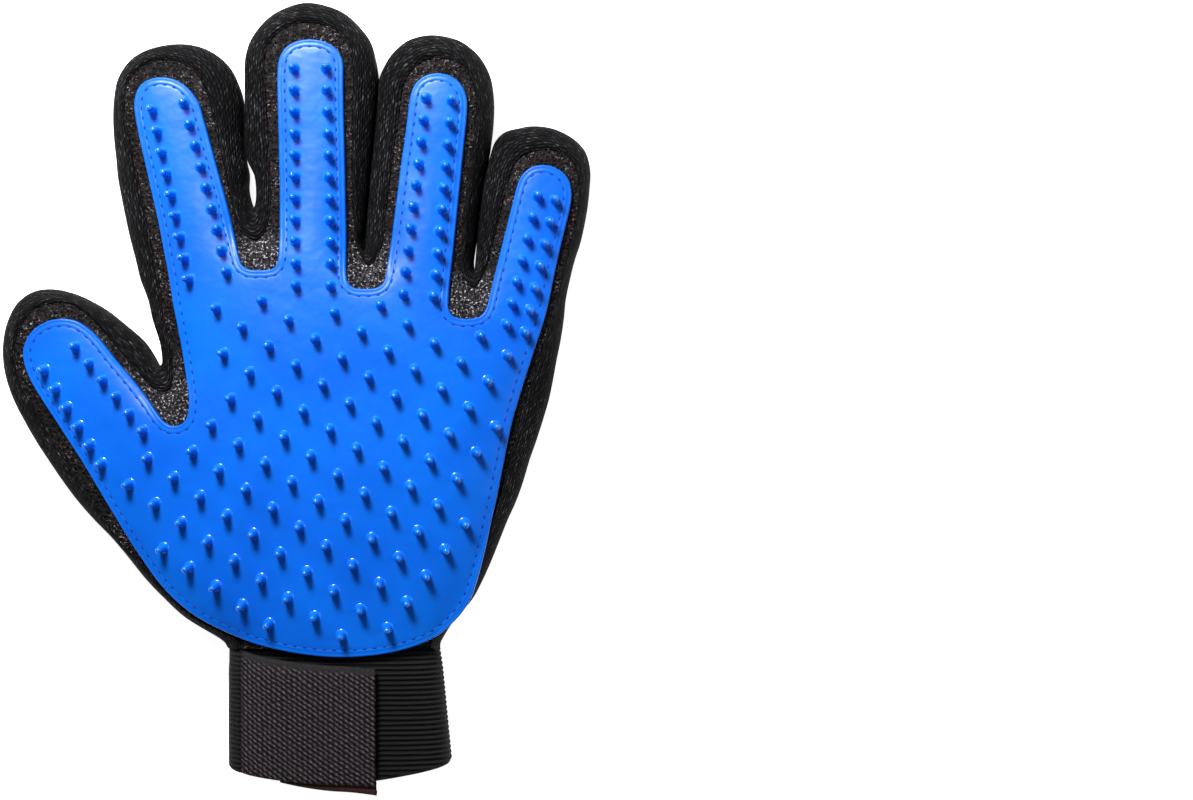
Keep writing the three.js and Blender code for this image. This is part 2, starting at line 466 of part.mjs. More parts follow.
addPiece('strap_tape', band([...span(75.5, 140, 12), ...span(144, 176, 8)], TAPE_LAYER, [-79.4, -76.3], [-113.6, -109.3]), TAPE);
addPiece('strap_anchor', band(span(181, 206, 6), TAPE_LAYER, [-76.5, -77.2], [-109.6, -108.8]), TAPE);

export default group;
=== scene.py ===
import bpy
import bmesh
import math
import numpy as np
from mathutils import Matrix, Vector, geometry


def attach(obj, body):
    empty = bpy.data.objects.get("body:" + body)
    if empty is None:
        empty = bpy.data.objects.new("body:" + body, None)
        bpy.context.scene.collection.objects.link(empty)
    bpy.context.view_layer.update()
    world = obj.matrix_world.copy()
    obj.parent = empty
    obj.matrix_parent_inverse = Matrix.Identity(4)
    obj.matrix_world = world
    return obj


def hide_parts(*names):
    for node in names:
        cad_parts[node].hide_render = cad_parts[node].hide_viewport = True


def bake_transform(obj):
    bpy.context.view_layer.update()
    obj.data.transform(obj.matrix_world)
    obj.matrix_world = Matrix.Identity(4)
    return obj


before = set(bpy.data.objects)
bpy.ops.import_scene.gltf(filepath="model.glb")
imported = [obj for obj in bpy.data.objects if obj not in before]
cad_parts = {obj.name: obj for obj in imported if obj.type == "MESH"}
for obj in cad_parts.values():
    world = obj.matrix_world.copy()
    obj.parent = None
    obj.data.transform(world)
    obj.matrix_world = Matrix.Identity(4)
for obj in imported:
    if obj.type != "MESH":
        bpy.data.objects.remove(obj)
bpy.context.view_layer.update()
MM = 0.001
rng = np.random.default_rng(7)

# ------------------------------------------------------------------ dimensions
SEAM_Z = 19.0        # seam between the mesh palm side and the side walls
CROWN = 4.2          # how far the filled palm stands over the seam
REACH = 10.0         # width over which the crown builds up
WIDE_Z = 10.5
PAD_T = 1.8          # rubber pad
BEAD = 1.5           # moulded bead along the pad's edge
NUB_H = 4.75
CAMERA = (89.37, -1.95, 520.0)
LENS = 51.67

# [seam x, seam y, widest x, widest y] round the hand, clockwise from the wrist
STATIONS = np.array([
    (-14.65, -74.66, -19.99, -75.15), (-15.82, -71.15, -22.29, -72.71), (-26.94, -66.03, -32.27, -66.42),
    (-34.40, -60.47, -38.71, -60.37), (-39.53, -54.91, -44.29, -54.62), (-44.50, -49.35, -48.98, -48.61),
    (-49.47, -44.09, -53.70, -42.76), (-53.28, -38.23, -59.26, -37.51), (-57.08, -32.67, -64.33, -31.94),
    (-60.59, -27.11, -68.95, -25.96), (-64.10, -21.26, -73.06, -20.00), (-67.91, -15.41, -76.93, -14.05),
    (-71.71, -9.56, -80.36, -8.07), (-75.52, -3.41, -83.39, -2.10), (-78.74, 2.73, -85.42, 3.83),
    (-80.78, 9.17, -86.44, 9.82), (-80.49, 15.31, -86.37, 15.84), (-78.44, 20.58, -85.07, 21.72),
    (-75.52, 24.09, -82.39, 26.86), (-71.71, 25.85, -77.54, 30.35), (-67.62, 26.43, -71.75, 31.04),
    (-63.23, 25.56, -66.08, 29.76), (-59.13, 22.63, -60.84, 27.39), (-55.62, 18.83, -56.33, 24.73),
    (-51.82, 14.44, -52.15, 21.49), (-48.30, 10.34, -48.32, 18.39), (-45.09, 6.54, -45.43, 15.61),
    (-42.45, 3.61, -43.50, 12.48), (-40.11, 1.27, -42.31, 9.95), (-37.18, 0.39, -40.97, 8.32),
    (-34.84, 2.15, -39.48, 9.36), (-34.55, 8.00, -39.63, 12.93), (-35.14, 14.44, -40.46, 16.47),
    (-36.60, 20.87, -42.30, 21.81), (-37.48, 27.31, -43.70, 27.81), (-38.65, 33.16, -46.00, 33.76),
    (-39.82, 39.02, -47.46, 39.71), (-40.99, 44.87, -49.02, 45.66), (-42.16, 50.72, -50.37, 51.61),
    (-43.33, 56.57, -51.56, 57.57), (-44.50, 62.42, -52.66, 63.52), (-45.67, 68.28, -53.21, 69.47),
    (-47.13, 74.13, -53.78, 75.42), (-48.30, 79.98, -53.96, 81.37), (-48.60, 85.25, -53.63, 87.22),
    (-47.72, 90.52, -52.45, 93.05), (-45.09, 94.32, -49.08, 98.40), (-41.57, 96.66, -44.30, 101.65),
    (-37.48, 97.54, -37.65, 103.46), (-33.09, 96.95, -30.85, 103.56), (-29.28, 94.90, -24.77, 101.52),
    (-26.36, 91.69, -19.91, 97.48), (-24.60, 87.59, -17.31, 92.68), (-23.43, 82.91, -15.66, 87.32),
    (-22.26, 78.23, -15.36, 81.37), (-21.09, 73.25, -15.35, 75.42), (-19.92, 67.69, -14.87, 69.47),
    (-18.75, 61.84, -14.19, 65.90), (-17.58, 56.28, -14.45, 61.73), (-15.53, 48.38, -13.59, 57.57),
    (-10.26, 44.58, -12.55, 55.33), (-7.05, 48.38, -11.81, 56.97), (-5.88, 55.69, -11.72, 60.54),
    (-5.88, 61.84, -12.31, 64.71), (-6.17, 67.69, -14.51, 69.47), (-6.46, 73.25, -15.11, 75.42),
    (-6.75, 78.81, -15.24, 81.37), (-7.05, 84.66, -15.24, 87.32), (-7.34, 90.52, -15.23, 93.27),
    (-7.63, 95.78, -15.02, 99.21), (-7.05, 100.46, -13.19, 105.02), (-4.70, 104.56, -8.75, 110.72),
    (-0.90, 107.19, -3.25, 114.25), (4.66, 108.36, 3.80, 116.07), (11.10, 107.19, 11.55, 114.40),
    (14.90, 104.56, 16.91, 111.13), (17.24, 100.46, 21.97, 105.18), (18.12, 95.78, 23.75, 99.23),
    (18.12, 90.52, 24.66, 93.27), (17.83, 84.66, 24.36, 87.32), (17.83, 78.23, 23.77, 80.18),
    (17.83, 71.20, 23.03, 72.44), (17.83, 63.89, 22.28, 65.00), (18.12, 56.57, 21.69, 57.57),
    (18.41, 50.13, 21.09, 51.02), (19.00, 43.40, 20.50, 45.36), (22.80, 37.26, 20.63, 42.98),
    (26.60, 42.82, 20.76, 45.36), (27.48, 50.13, 21.06, 51.02), (28.36, 56.57, 21.66, 57.57),
    (29.24, 63.89, 22.25, 65.00), (30.12, 71.20, 23.00, 72.44), (31.29, 78.23, 23.74, 80.18),
    (32.16, 84.66, 24.33, 87.32), (33.04, 89.93, 24.63, 93.27), (35.09, 94.03, 27.28, 99.10),
    (37.72, 96.37, 30.54, 102.91), (40.36, 97.54, 34.52, 105.41), (43.28, 98.12, 40.72, 106.52),
    (47.09, 97.25, 47.86, 105.18), (50.31, 95.20, 52.62, 102.20), (52.65, 91.98, 55.93, 98.39),
    (53.82, 88.17, 58.14, 93.39), (54.11, 83.49, 58.93, 87.35), (53.82, 78.52, 58.87, 81.37),
    (53.23, 72.96, 58.27, 75.12), (52.35, 67.69, 57.40, 69.47), (51.48, 61.84, 56.06, 63.52),
    (50.89, 55.99, 55.16, 57.57), (50.31, 50.13, 54.42, 51.61), (50.01, 43.70, 53.77, 45.66),
    (49.72, 36.09, 52.93, 39.41), (53.23, 30.82, 53.13, 36.73), (56.74, 35.50, 53.35, 39.41),
    (58.79, 42.23, 53.79, 45.66), (60.55, 49.55, 54.39, 51.61), (62.01, 55.69, 55.13, 57.57),
    (63.47, 61.25, 56.03, 63.52), (64.94, 65.94, 57.37, 69.47), (67.28, 68.86, 58.96, 74.56),
    (69.91, 70.33, 61.98, 77.63), (72.25, 70.91, 65.92, 78.79), (74.89, 71.20, 70.33, 79.52),
    (78.10, 70.62, 75.75, 78.95), (80.74, 69.45, 80.59, 76.97), (82.49, 67.40, 84.20, 74.34),
    (83.66, 64.77, 86.51, 71.13), (84.25, 61.25, 87.60, 66.45), (83.96, 56.57, 87.38, 60.91),
    (83.37, 51.31, 86.62, 54.22), (81.62, 44.28, 84.88, 45.68), (80.45, 38.72, 82.97, 39.71),
    (78.98, 33.16, 81.48, 33.76), (77.52, 27.60, 80.29, 27.81), (76.06, 22.04, 79.70, 21.86),
    (74.30, 16.19, 78.81, 15.90), (72.54, 10.34, 77.62, 9.95), (70.50, 4.49, 76.55, 3.99),
    (68.74, -1.36, 75.30, -1.98), (66.99, -7.22, 73.57, -7.91), (65.52, -13.07, 71.66, -13.85),
    (63.77, -18.92, 69.58, -19.80), (62.30, -24.77, 67.80, -25.76), (60.55, -30.63, 65.71, -31.71),
    (58.50, -36.77, 63.03, -37.66), (56.45, -42.62, 60.65, -43.61), (54.40, -48.48, 58.27, -49.56),
    (52.06, -54.03, 55.60, -55.51), (49.43, -59.30, 52.32, -61.47), (45.33, -65.15, 46.97, -67.71),
    (41.24, -71.30, 43.25, -73.67), (40.65, -73.93, 42.65, -76.34),
])
PAD = np.array([
    (14.81, -76.66), (0.28, -75.20), (-13.68, -71.71), (-26.18, -65.90), (-33.73, -60.09),
    (-38.97, -54.27), (-43.04, -48.46), (-46.82, -42.65), (-50.30, -36.83), (-53.79, -31.02),
    (-57.28, -25.20), (-60.77, -19.39), (-64.55, -13.58), (-68.33, -7.76), (-72.11, -1.95),
    (-75.59, 3.86), (-77.48, 9.10), (-77.63, 13.17), (-76.17, 16.65), (-73.56, 19.42),
    (-70.07, 21.16), (-66.29, 21.74), (-62.51, 21.16), (-59.02, 19.12), (-55.54, 15.78),
    (-50.89, 9.97), (-45.65, 3.86), (-41.00, -1.95), (-37.80, -6.31), (-35.62, -8.64),
    (-33.01, -9.51), (-30.39, -8.64), (-29.08, -6.31), (-28.79, -1.95), (-29.67, 3.86),
    (-30.68, 9.68), (-31.70, 15.49), (-32.86, 21.30), (-34.03, 27.12), (-34.90, 32.93),
    (-36.06, 38.75), (-37.22, 44.56), (-38.39, 50.37), (-39.69, 56.19), (-41.00, 62.00),
    (-42.31, 67.81), (-43.62, 73.63), (-44.78, 79.44), (-45.36, 84.09), (-44.64, 87.87),
    (-43.04, 90.20), (-40.42, 91.65), (-37.37, 92.09), (-34.32, 91.65), (-31.70, 90.49),
    (-29.37, 88.60), (-27.63, 86.42), (-26.32, 84.09), (-25.01, 79.44), (-23.42, 73.63),
    (-21.82, 67.81), (-20.22, 62.00), (-18.62, 56.19), (-17.17, 50.37), (-15.71, 44.56),
    (-14.40, 39.62), (-13.39, 37.15), (-11.35, 35.84), (-8.74, 35.69), (-6.12, 35.75),
    (-3.94, 36.42), (-2.92, 38.75), (-2.69, 44.56), (-2.78, 50.37), (-2.84, 56.19),
    (-2.92, 62.00), (-3.07, 67.81), (-3.21, 73.63), (-3.36, 79.44), (-3.50, 85.26),
    (-3.65, 91.07), (-3.36, 96.30), (-2.20, 99.50), (-0.02, 101.68), (2.89, 102.84),
    (6.09, 103.13), (9.43, 102.70), (12.34, 101.39), (14.37, 99.35), (15.48, 96.30),
    (15.57, 91.07), (15.62, 85.26), (15.74, 79.44), (15.89, 73.63), (16.03, 67.81),
    (16.15, 62.00), (16.26, 56.19), (16.44, 50.37), (16.55, 44.56), (16.64, 38.75),
    (16.84, 34.39), (17.57, 31.77), (19.46, 30.46), (22.37, 30.26), (25.27, 30.46),
    (27.31, 31.62), (28.18, 34.09), (28.76, 38.75), (29.63, 44.56), (30.36, 50.37),
    (31.09, 56.19), (31.81, 62.00), (32.54, 67.81), (33.41, 73.63), (34.14, 79.44),
    (34.87, 85.26), (35.74, 88.74), (37.34, 91.07), (39.81, 92.67), (43.01, 93.31),
    (46.20, 92.75), (48.82, 91.21), (50.56, 88.89), (51.52, 86.13), (51.67, 83.22),
    (51.44, 79.44), (50.85, 73.63), (50.27, 67.81), (49.69, 62.00), (49.11, 56.19),
    (48.53, 50.37), (47.95, 44.56), (47.37, 38.75), (46.78, 32.93), (46.44, 27.70),
    (46.49, 24.50), (47.66, 22.47), (49.98, 21.68), (52.89, 21.68), (55.51, 22.32),
    (57.10, 24.21), (57.98, 27.12), (59.28, 32.93), (60.74, 38.75), (62.19, 44.56),
    (63.64, 50.37), (65.10, 56.19), (66.55, 61.56), (68.15, 64.18), (70.48, 65.92),
    (73.38, 66.56), (76.43, 66.13), (79.34, 64.53), (81.38, 61.86), (82.10, 58.51),
    (81.81, 55.02), (80.79, 50.37), (79.34, 44.56), (77.98, 38.75), (76.73, 32.93),
    (75.56, 27.12), (74.11, 21.30), (72.22, 15.49), (70.33, 9.68), (68.44, 3.86),
    (66.64, -1.95), (64.95, -7.76), (63.64, -13.58), (62.48, -19.39), (61.32, -25.20),
    (60.16, -31.02), (58.79, -36.83), (57.54, -42.65), (56.17, -48.46), (54.63, -54.27),
    (52.31, -60.67), (47.95, -66.48), (41.26, -71.71), (29.34, -75.49),
])
COLUMNS = [
    (-71.08, 6.81, -54.31, -20.33, 6),
    (-62.12, 13.46, -41.91, -10.81, 6),
    (-39.57, 82.27, -28.64, 33.05, 9),
    (-30.61, 84.29, -17.67, 35.07, 9),
    (1.48, 94.35, 2.55, 31.26, 11),
    (10.76, 94.53, 12.45, 31.14, 11),
    (39.85, 85.79, 33.48, 28.72, 10),
    (47.16, 85.16, 42.05, 28.00, 10),
    (72.31, 57.40, 63.20, 20.06, 7),
    (77.23, 56.25, 68.54, 17.81, 7),
]
LATTICE_O = (4.768, -4.869)
LATTICE_A = (7.702, -5.472)
LATTICE_B = (-5.558, -7.572)
LATTICE_ROWS = [(-5, 3, 4), (-4, 0, 4), (-3, -1, 5), (-2, -3, 5), (-1, -4, 5), (0, -3, 6),
                (1, -2, 6), (2, -2, 6), (3, -2, 6), (4, -3, 6), (5, -3, 5), (6, -1, 3)]
# finger roots: x, y, turn of the cut, half widths of the region, flare of the region, a length
ROOTS = {
    "thumb": (-55.82, -1.43, -35.0, 26, 17, 25, 17.0),
    "index": (-28.61, 55.95, -12.3, 24, 15, 0, 20.0),
    "middle": (6.71, 54.07, 2.0, 20, 18, 0, 22.0),
    "ring": (38.56, 44.52, 5.9, 18, 17, 0, 22.0),
    "little": (68.96, 35.4, 13.4, 16, 26, 0, 17.0),
}
FINGERS = list(ROOTS)
CROTCH = [29, 60, 86, 112]   # station of each crotch, thumb-index first


def spline(keys, m, closed=False):
    keys = np.asarray(keys, float)
    n = len(keys)
    out = []
    for i in range(n if closed else n - 1):
        if closed:
            p0, p1, p2, p3 = keys[i - 1], keys[i], keys[(i + 1) % n], keys[(i + 2) % n]
        else:
            p1, p2 = keys[i], keys[i + 1]
            p0 = keys[i - 1] if i > 0 else 2 * p1 - p2
            p3 = keys[i + 2] if i + 2 < n else 2 * p2 - p1
        t = (np.arange(m) / m)[:, None]
        out.append(0.5 * (2 * p1 + (p2 - p0) * t + (2 * p0 - 5 * p1 + 4 * p2 - p3) * t ** 2 + (3 * p1 - p0 - 3 * p2 + p3) * t ** 3))
    out = np.concatenate(out)
    return out if closed else np.vstack([out, keys[-1:]])


def resample(p, step, closed=False):
    q = np.vstack([p, p[:1]]) if closed else p
    s = np.concatenate([[0], np.cumsum(np.hypot(*np.diff(q[:, :2], axis=0).T))])
    n = max(2, int(round(s[-1] / step)))
    t = np.linspace(0, s[-1], n + 1)
    r = np.stack([np.interp(t, s, q[:, k]) for k in range(q.shape[1])], 1)
    return (r[:-1] if closed else r), s[-1]


def inside(px, py, poly):
    """Which points are inside a closed outline."""
    px, py = np.asarray(px, float), np.asarray(py, float)
    res = np.zeros(px.shape, bool)
    x0, y0 = poly[:, 0], poly[:, 1]
    x1, y1 = np.roll(x0, -1), np.roll(y0, -1)
    for a, b, c, d in zip(x0, y0, x1, y1):
        if b == d:
            continue
        hit = ((b > py) != (d > py)) & (px < (c - a) * (py - b) / (d - b) + a)
        res ^= hit
    return res


# ------------------------------------------------- crown of the filled palm side
dense = spline(STATIONS, 6)
SEAM = dense[:, :2]
WIDE = SEAM + (dense[:, 2:] - SEAM) * 0.985
CELL = 0.5
GX0, GY0, GX1, GY1 = -92.0, -80.0, 92.0, 120.0
gx = np.arange(GX0, GX1 + 0.01, CELL)
gy = np.arange(GY0, GY1 + 0.01, CELL)
GXX, GYY = np.meshgrid(gx, gy)
wrist = np.array([[SEAM[-1, 0], -90.0], [SEAM[0, 0], -90.0]])
mask = inside(GXX.ravel(), GYY.ravel(), np.vstack([SEAM, wrist])).reshape(GXX.shape)


def membrane(steps):
    """A sheet held at the seam and pushed out from inside, in balance."""
    u = np.zeros(GXX.shape)
    k = (CELL / REACH) ** 2
    free = mask.copy()
    w = 1.8
    red = (np.add.outer(np.arange(GXX.shape[0]), np.arange(GXX.shape[1])) % 2) == 0
    for _ in range(steps):
        for colour in (red, ~red):
            s = np.zeros_like(u)
            s[1:] += u[:-1]
            s[:-1] += u[1:]
            s[0] += u[0]
            s[-1] += u[-1]
            s[:, 1:] += u[:, :-1]
            s[:, :-1] += u[:, 1:]
            new = (s + CELL ** 2) / (4 + k)
            m = free & colour
            u[m] += w * (new[m] - u[m])
    return u


U = membrane(160) / REACH ** 2
for _ in range(3):
    V = U.copy()
    V[1:-1, 1:-1] = (U[1:-1, 1:-1] * 4 + U[:-2, 1:-1] + U[2:, 1:-1] + U[1:-1, :-2] + U[1:-1, 2:]) / 8
    U = np.where(mask, V, U)


def crown(x, y):
    x, y = np.asarray(x, float), np.asarray(y, float)
    fx = np.clip((x - GX0) / CELL, 0, len(gx) - 1.001)
    fy = np.clip((y - GY0) / CELL, 0, len(gy) - 1.001)
    i, j = fx.astype(int), fy.astype(int)
    a, b = fx - i, fy - j
    return (U[j, i] * (1 - a) * (1 - b) + U[j, i + 1] * a * (1 - b) + U[j + 1, i] * (1 - a) * b + U[j + 1, i + 1] * a * b)


# broad soft unevenness of a sewn, hand-filled glove
def lumps(x, y, seed=0, size=26.0):
    r = np.random.default_rng(100 + seed)
    out = np.zeros(np.shape(x))
    for _ in range(7):
        ang, ph = r.uniform(0, math.tau, 2)
        k = math.tau / (size * r.uniform(0.7, 1.6))
        out = out + np.sin(k * (np.cos(ang) * x + np.sin(ang) * y) + ph)
    return out / 7


def z_front(x, y):
    c = crown(x, y)
    x, y = np.asarray(x, float), np.asarray(y, float)
    dome = np.clip(1 - ((x - 8) / 62) ** 2 - ((y + 4) / 78) ** 2, 0, 1)
    return SEAM_Z + (CROWN - 1.2) * c + 2.6 * dome * np.clip(c * 1.6, 0, 1) + 0.35 * lumps(x, y, 1) * np.clip(c * 3, 0, 1)


def z_pad(x, y):
    return z_front(x, y) + PAD_T


# ---------------------------------------------------------------- mesh splitting
ROOT_D, ROOT_R = {}, {}
for f, (x, y, turn, *_r) in ROOTS.items():
    a = math.radians(turn)
    ROOT_D[f] = np.array([math.sin(a), math.cos(a)])
    ROOT_R[f] = np.array([math.cos(a), -math.sin(a)])


def past(f, x, y):
    return (x - ROOTS[f][0]) * ROOT_D[f][0] + (y - ROOTS[f][1]) * ROOT_D[f][1]


def finger_of(x, y):
    """Index of the finger region a point of the palm side is in, or -1."""
    x, y = np.asarray(x, float), np.asarray(y, float)
    out = np.full(x.shape, -1)
    for k, f in enumerate(FINGERS):
        cx, cy, _, left, right, flare, _ = ROOTS[f]
        s = past(f, x, y)
        r = (x - cx) * ROOT_R[f][0] + (y - cy) * ROOT_R[f][1]
        out[(s > -6) & (s < 90) & (r > -left) & (r < right + np.clip(s, 0, 90) * flare / 90)] = k
    return out


def bend_piece(obj):
    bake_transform(obj)


def new_object(name, verts, faces, uvs=None, material=None, smooth=True):
    """verts in mm. uvs: one (u, v) in mm per vertex."""
    me = bpy.data.meshes.new(name)
    me.from_pydata([tuple(v) for v in np.asarray(verts, float) * MM], [], [tuple(int(i) for i in f) for f in faces])
    if uvs is not None:
        layer = me.uv_layers.new(name="uv")
        loop_v = np.zeros(len(me.loops), np.int64)
        me.loops.foreach_get("vertex_index", loop_v)
        layer.data.foreach_set("uv", (np.asarray(uvs, float)[loop_v] * MM).astype(np.float32).ravel())
    me.validate()
    me.polygons.foreach_set("use_smooth", [smooth] * len(me.polygons))
    ob = bpy.data.objects.new(name, me)
    bpy.context.scene.collection.objects.link(ob)
    if material:
        me.materials.append(material)
    return ob


def split_pieces(name, verts, faces, fid, uvs, material, nodes, palm_nodes, merge=0.0, outward=None):
    """One surface, cut at the finger roots: each finger's piece becomes an object of its own, the rest is attached to
    the palm.
    """
    bm = bmesh.new()
    layer = bm.faces.layers.int.new("fid")
    uvl = bm.loops.layers.uv.new("uv")
    bv = [bm.verts.new(tuple(v)) for v in np.asarray(verts, float) * MM]
    bm.verts.ensure_lookup_table()
    uv = np.asarray(uvs, float) * MM
    for f, k in zip(faces, fid):
        try:
            face = bm.faces.new([bv[i] for i in f])
        except ValueError:
            continue
        face[layer] = int(k)
        face.smooth = True
        for loop, i in zip(face.loops, f):
            loop[uvl].uv = uv[i]
    if merge:
        bmesh.ops.remove_doubles(bm, verts=bm.verts, dist=merge * MM)
    for k, f in enumerate(FINGERS):
        cx, cy = ROOTS[f][:2]
        d = ROOT_D[f]
        near = [q for q in bm.faces if q[layer] == k]
        if not near:
            continue
        geom = set(near)
        for q in near:
            geom.update(q.edges)
            geom.update(q.verts)
        bmesh.ops.bisect_plane(bm, geom=list(geom), dist=1e-8, plane_co=(cx * MM, cy * MM, 0), plane_no=(d[0], d[1], 0))
    bm.normal_update()
    bm.verts.index_update()
    normals = [v.normal.copy() for v in bm.verts]
    groups = {f: [] for f in FINGERS}
    groups["palm"] = []
    for q in bm.faces:
        k = q[layer]
        c = q.calc_center_median() / MM
        key = FINGERS[k] if k >= 0 and past(FINGERS[k], c.x, c.y) > 0 else "palm"
        groups[key].append(q)
    made = {}
    for key, qs in groups.items():
        if not qs:
            continue
        ids = {}
        vs, fs, uvo, ns = [], [], [], []
        for q in qs:
            row = []
            for loop in q.loops:
                i = loop.vert.index
                if i not in ids:
                    ids[i] = len(vs)
                    vs.append(loop.vert.co[:])
                    ns.append(normals[i][:])
                row.append(ids[i])
                uvo.append(loop[uvl].uv[:])
            fs.append(row)
        me = bpy.data.meshes.new(f"{key}_{name}")
        me.from_pydata(vs, [], fs)
        ul = me.uv_layers.new(name="uv")
        ul.data.foreach_set("uv", np.asarray(uvo, np.float32).ravel())
        me.polygons.foreach_set("use_smooth", [True] * len(me.polygons))
        me.normals_split_custom_set_from_vertices(ns)
        me.materials.append(material)
        ob = bpy.data.objects.new(f"{key}_{name}", me)
        bpy.context.scene.collection.objects.link(ob)
        if key == "palm":
            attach(ob, "palm")
            if palm_nodes:
                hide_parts(*palm_nodes)
        else:
            bend_piece(ob)
            if nodes:
                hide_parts(*[n.format(key) for n in nodes])
        made[key] = ob
    bm.free()
    return made


def triangulate(loops, inner):
    """Triangles inside the outlines, through the inner points."""
    pts, edges = [], []
    for loop in loops:
        base = len(pts)
        pts += [Vector((float(a), float(b))) for a, b in loop]
        edges += [(base + i, base + (i + 1) % len(loop)) for i in range(len(loop))]
    pts += [Vector((float(a), float(b))) for a, b in inner]
    vo, _, fo, *_rest = geometry.delaunay_2d_cdt(pts, edges, [], 1, 1e-7)
    return np.array([tuple(v) for v in vo]), fo


def hexgrid(step, poly, margin):
    rows = []
    y = poly[:, 1].min()
    k = 0
    while y < poly[:, 1].max():
        x = np.arange(poly[:, 0].min() + (step / 2 if k % 2 else 0), poly[:, 0].max(), step)
        rows.append(np.stack([x, np.full(len(x), y)], 1))
        y += step * 0.866
        k += 1
    p = np.concatenate(rows)
    p = p[inside(p[:, 0], p[:, 1], poly)]
    # keep clear of the outline
    keep = np.ones(len(p), bool)
    seg = poly
    for s in range(0, len(p), 2000):
        d = np.hypot(p[s:s + 2000, None, 0] - seg[None, :, 0], p[s:s + 2000, None, 1] - seg[None, :, 1]).min(1)
        keep[s:s + 2000] = d > margin
    return p[keep]


# --------------------------------------------------------------------- materials
def make_material(name):
    m = bpy.data.materials.new(name)
    m.use_nodes = True
    nt = m.node_tree
    nt.nodes.clear()
    out = nt.nodes.new("ShaderNodeOutputMaterial")
    bsdf = nt.nodes.new("ShaderNodeBsdfPrincipled")
    nt.links.new(bsdf.outputs[0], out.inputs[0])
    return m, nt, bsdf


def N(nt, kind, **kw):
    n = nt.nodes.new(kind)
    for k, v in kw.items():
        if k == "inputs":
            for i, val in v.items():
                n.inputs[i].default_value = val
        else:
            setattr(n, k, v)
    return n


def math_node(nt, op, a, b=None, c=None, clamp=False):
    n = nt.nodes.new("ShaderNodeMath")
    n.operation = op
    n.use_clamp = clamp
    for i, v in enumerate((a, b, c)):
        if v is None:
            continue
        if isinstance(v, (int, float)):
            n.inputs[i].default_value = v
        else:
            nt.links.new(v, n.inputs[i])
    return n.outputs[0]


def mix_rgb(nt, fac, a, b, blend="MIX"):
    n = nt.nodes.new("ShaderNodeMix")
    n.data_type = "RGBA"
    n.blend_type = blend
    for sock, v in ((n.inputs[0], fac), (n.inputs[6], a), (n.inputs[7], b)):
        if isinstance(v, (int, float)):
            sock.default_value = v
        elif isinstance(v, (tuple, list)):
            sock.default_value = (*v, 1) if len(v) == 3 else v
        else:
            nt.links.new(v, sock)
    return n.outputs[2]


def ramp(nt, fac, stops):
    n = nt.nodes.new("ShaderNodeValToRGB")
    nt.links.new(fac, n.inputs[0])
    e = n.color_ramp.elements
    while len(e) > 1:
        e.remove(e[-1])
    e[0].position, e[0].color = stops[0][0], (*stops[0][1], 1)
    for p, c in stops[1:]:
        q = e.new(p)
        q.color = (*c, 1)
    return n.outputs[0]


def uv_mm(nt):
    """uv in mm as separate x and y sockets, and as a vector."""
    t = nt.nodes.new("ShaderNodeUVMap")
    t.uv_map = "uv"
    sc = nt.nodes.new("ShaderNodeVectorMath")
    sc.operation = "SCALE"
    sc.inputs[3].default_value = 1000.0
    nt.links.new(t.outputs[0], sc.inputs[0])
    sp = nt.nodes.new("ShaderNodeSeparateXYZ")
    nt.links.new(sc.outputs[0], sp.inputs[0])
    return sc.outputs[0], sp.outputs[0], sp.outputs[1]


def mapped(nt, vec, scale, loc=(0, 0, 0), rot=(0, 0, 0)):
    n = nt.nodes.new("ShaderNodeMapping")
    n.inputs[1].default_value = loc
    n.inputs[2].default_value = rot
    n.inputs[3].default_value = scale
    nt.links.new(vec, n.inputs[0])
    return n.outputs[0]


def noise(nt, vec, scale, detail=3.0, rough=0.5, distort=0.0):
    n = N(nt, "ShaderNodeTexNoise", inputs={"Scale": scale, "Detail": detail, "Roughness": rough, "Distortion": distort})
    nt.links.new(vec, n.inputs["Vector"])
    return n.outputs[0]


def bump(nt, bsdf, height, strength, distance, prev=None):
    b = nt.nodes.new("ShaderNodeBump")
    b.inputs["Strength"].default_value = strength
    b.inputs["Distance"].default_value = distance
    nt.links.new(height, b.inputs["Height"])
    if prev is not None:
        nt.links.new(prev, b.inputs["Normal"])
    nt.links.new(b.outputs[0], bsdf.inputs["Normal"])
    return b.outputs[0]


def rubber_material(name, base=(0.0015, 0.155, 0.80), deep=(0.001, 0.120, 0.70), rough=0.31, spec=0.32):
    m, nt, b = make_material(name)
    vec, x, y = uv_mm(nt)
    soft = noise(nt, vec, 0.035, 2.0)
    fine = noise(nt, vec, 1.6, 3.0, 0.6)
    col = mix_rgb(nt, ramp(nt, soft, [(0.35, (0, 0, 0)), (0.65, (1, 1, 1))]), deep, base)
    col = mix_rgb(nt, ramp(nt, fine, [(0.3, (0, 0, 0)), (0.8, (0.14, 0.14, 0.14))]), col, (0.004, 0.20, 0.9))
    nt.links.new(col, b.inputs["Base Color"])
    r = math_node(nt, "MULTIPLY_ADD", noise(nt, vec, 0.5, 3.0), 0.10, rough - 0.05)
    nt.links.new(r, b.inputs["Roughness"])
    b.inputs["IOR"].default_value = 1.5
    b.inputs["Specular IOR Level"].default_value = spec
    grain = noise(nt, vec, 4.5, 4.0, 0.65)
    waves = noise(nt, vec, 0.16, 2.0)
    n1 = bump(nt, b, waves, 0.3, 0.0007)
    bump(nt, b, grain, 0.10, 0.00010, n1)
    return m


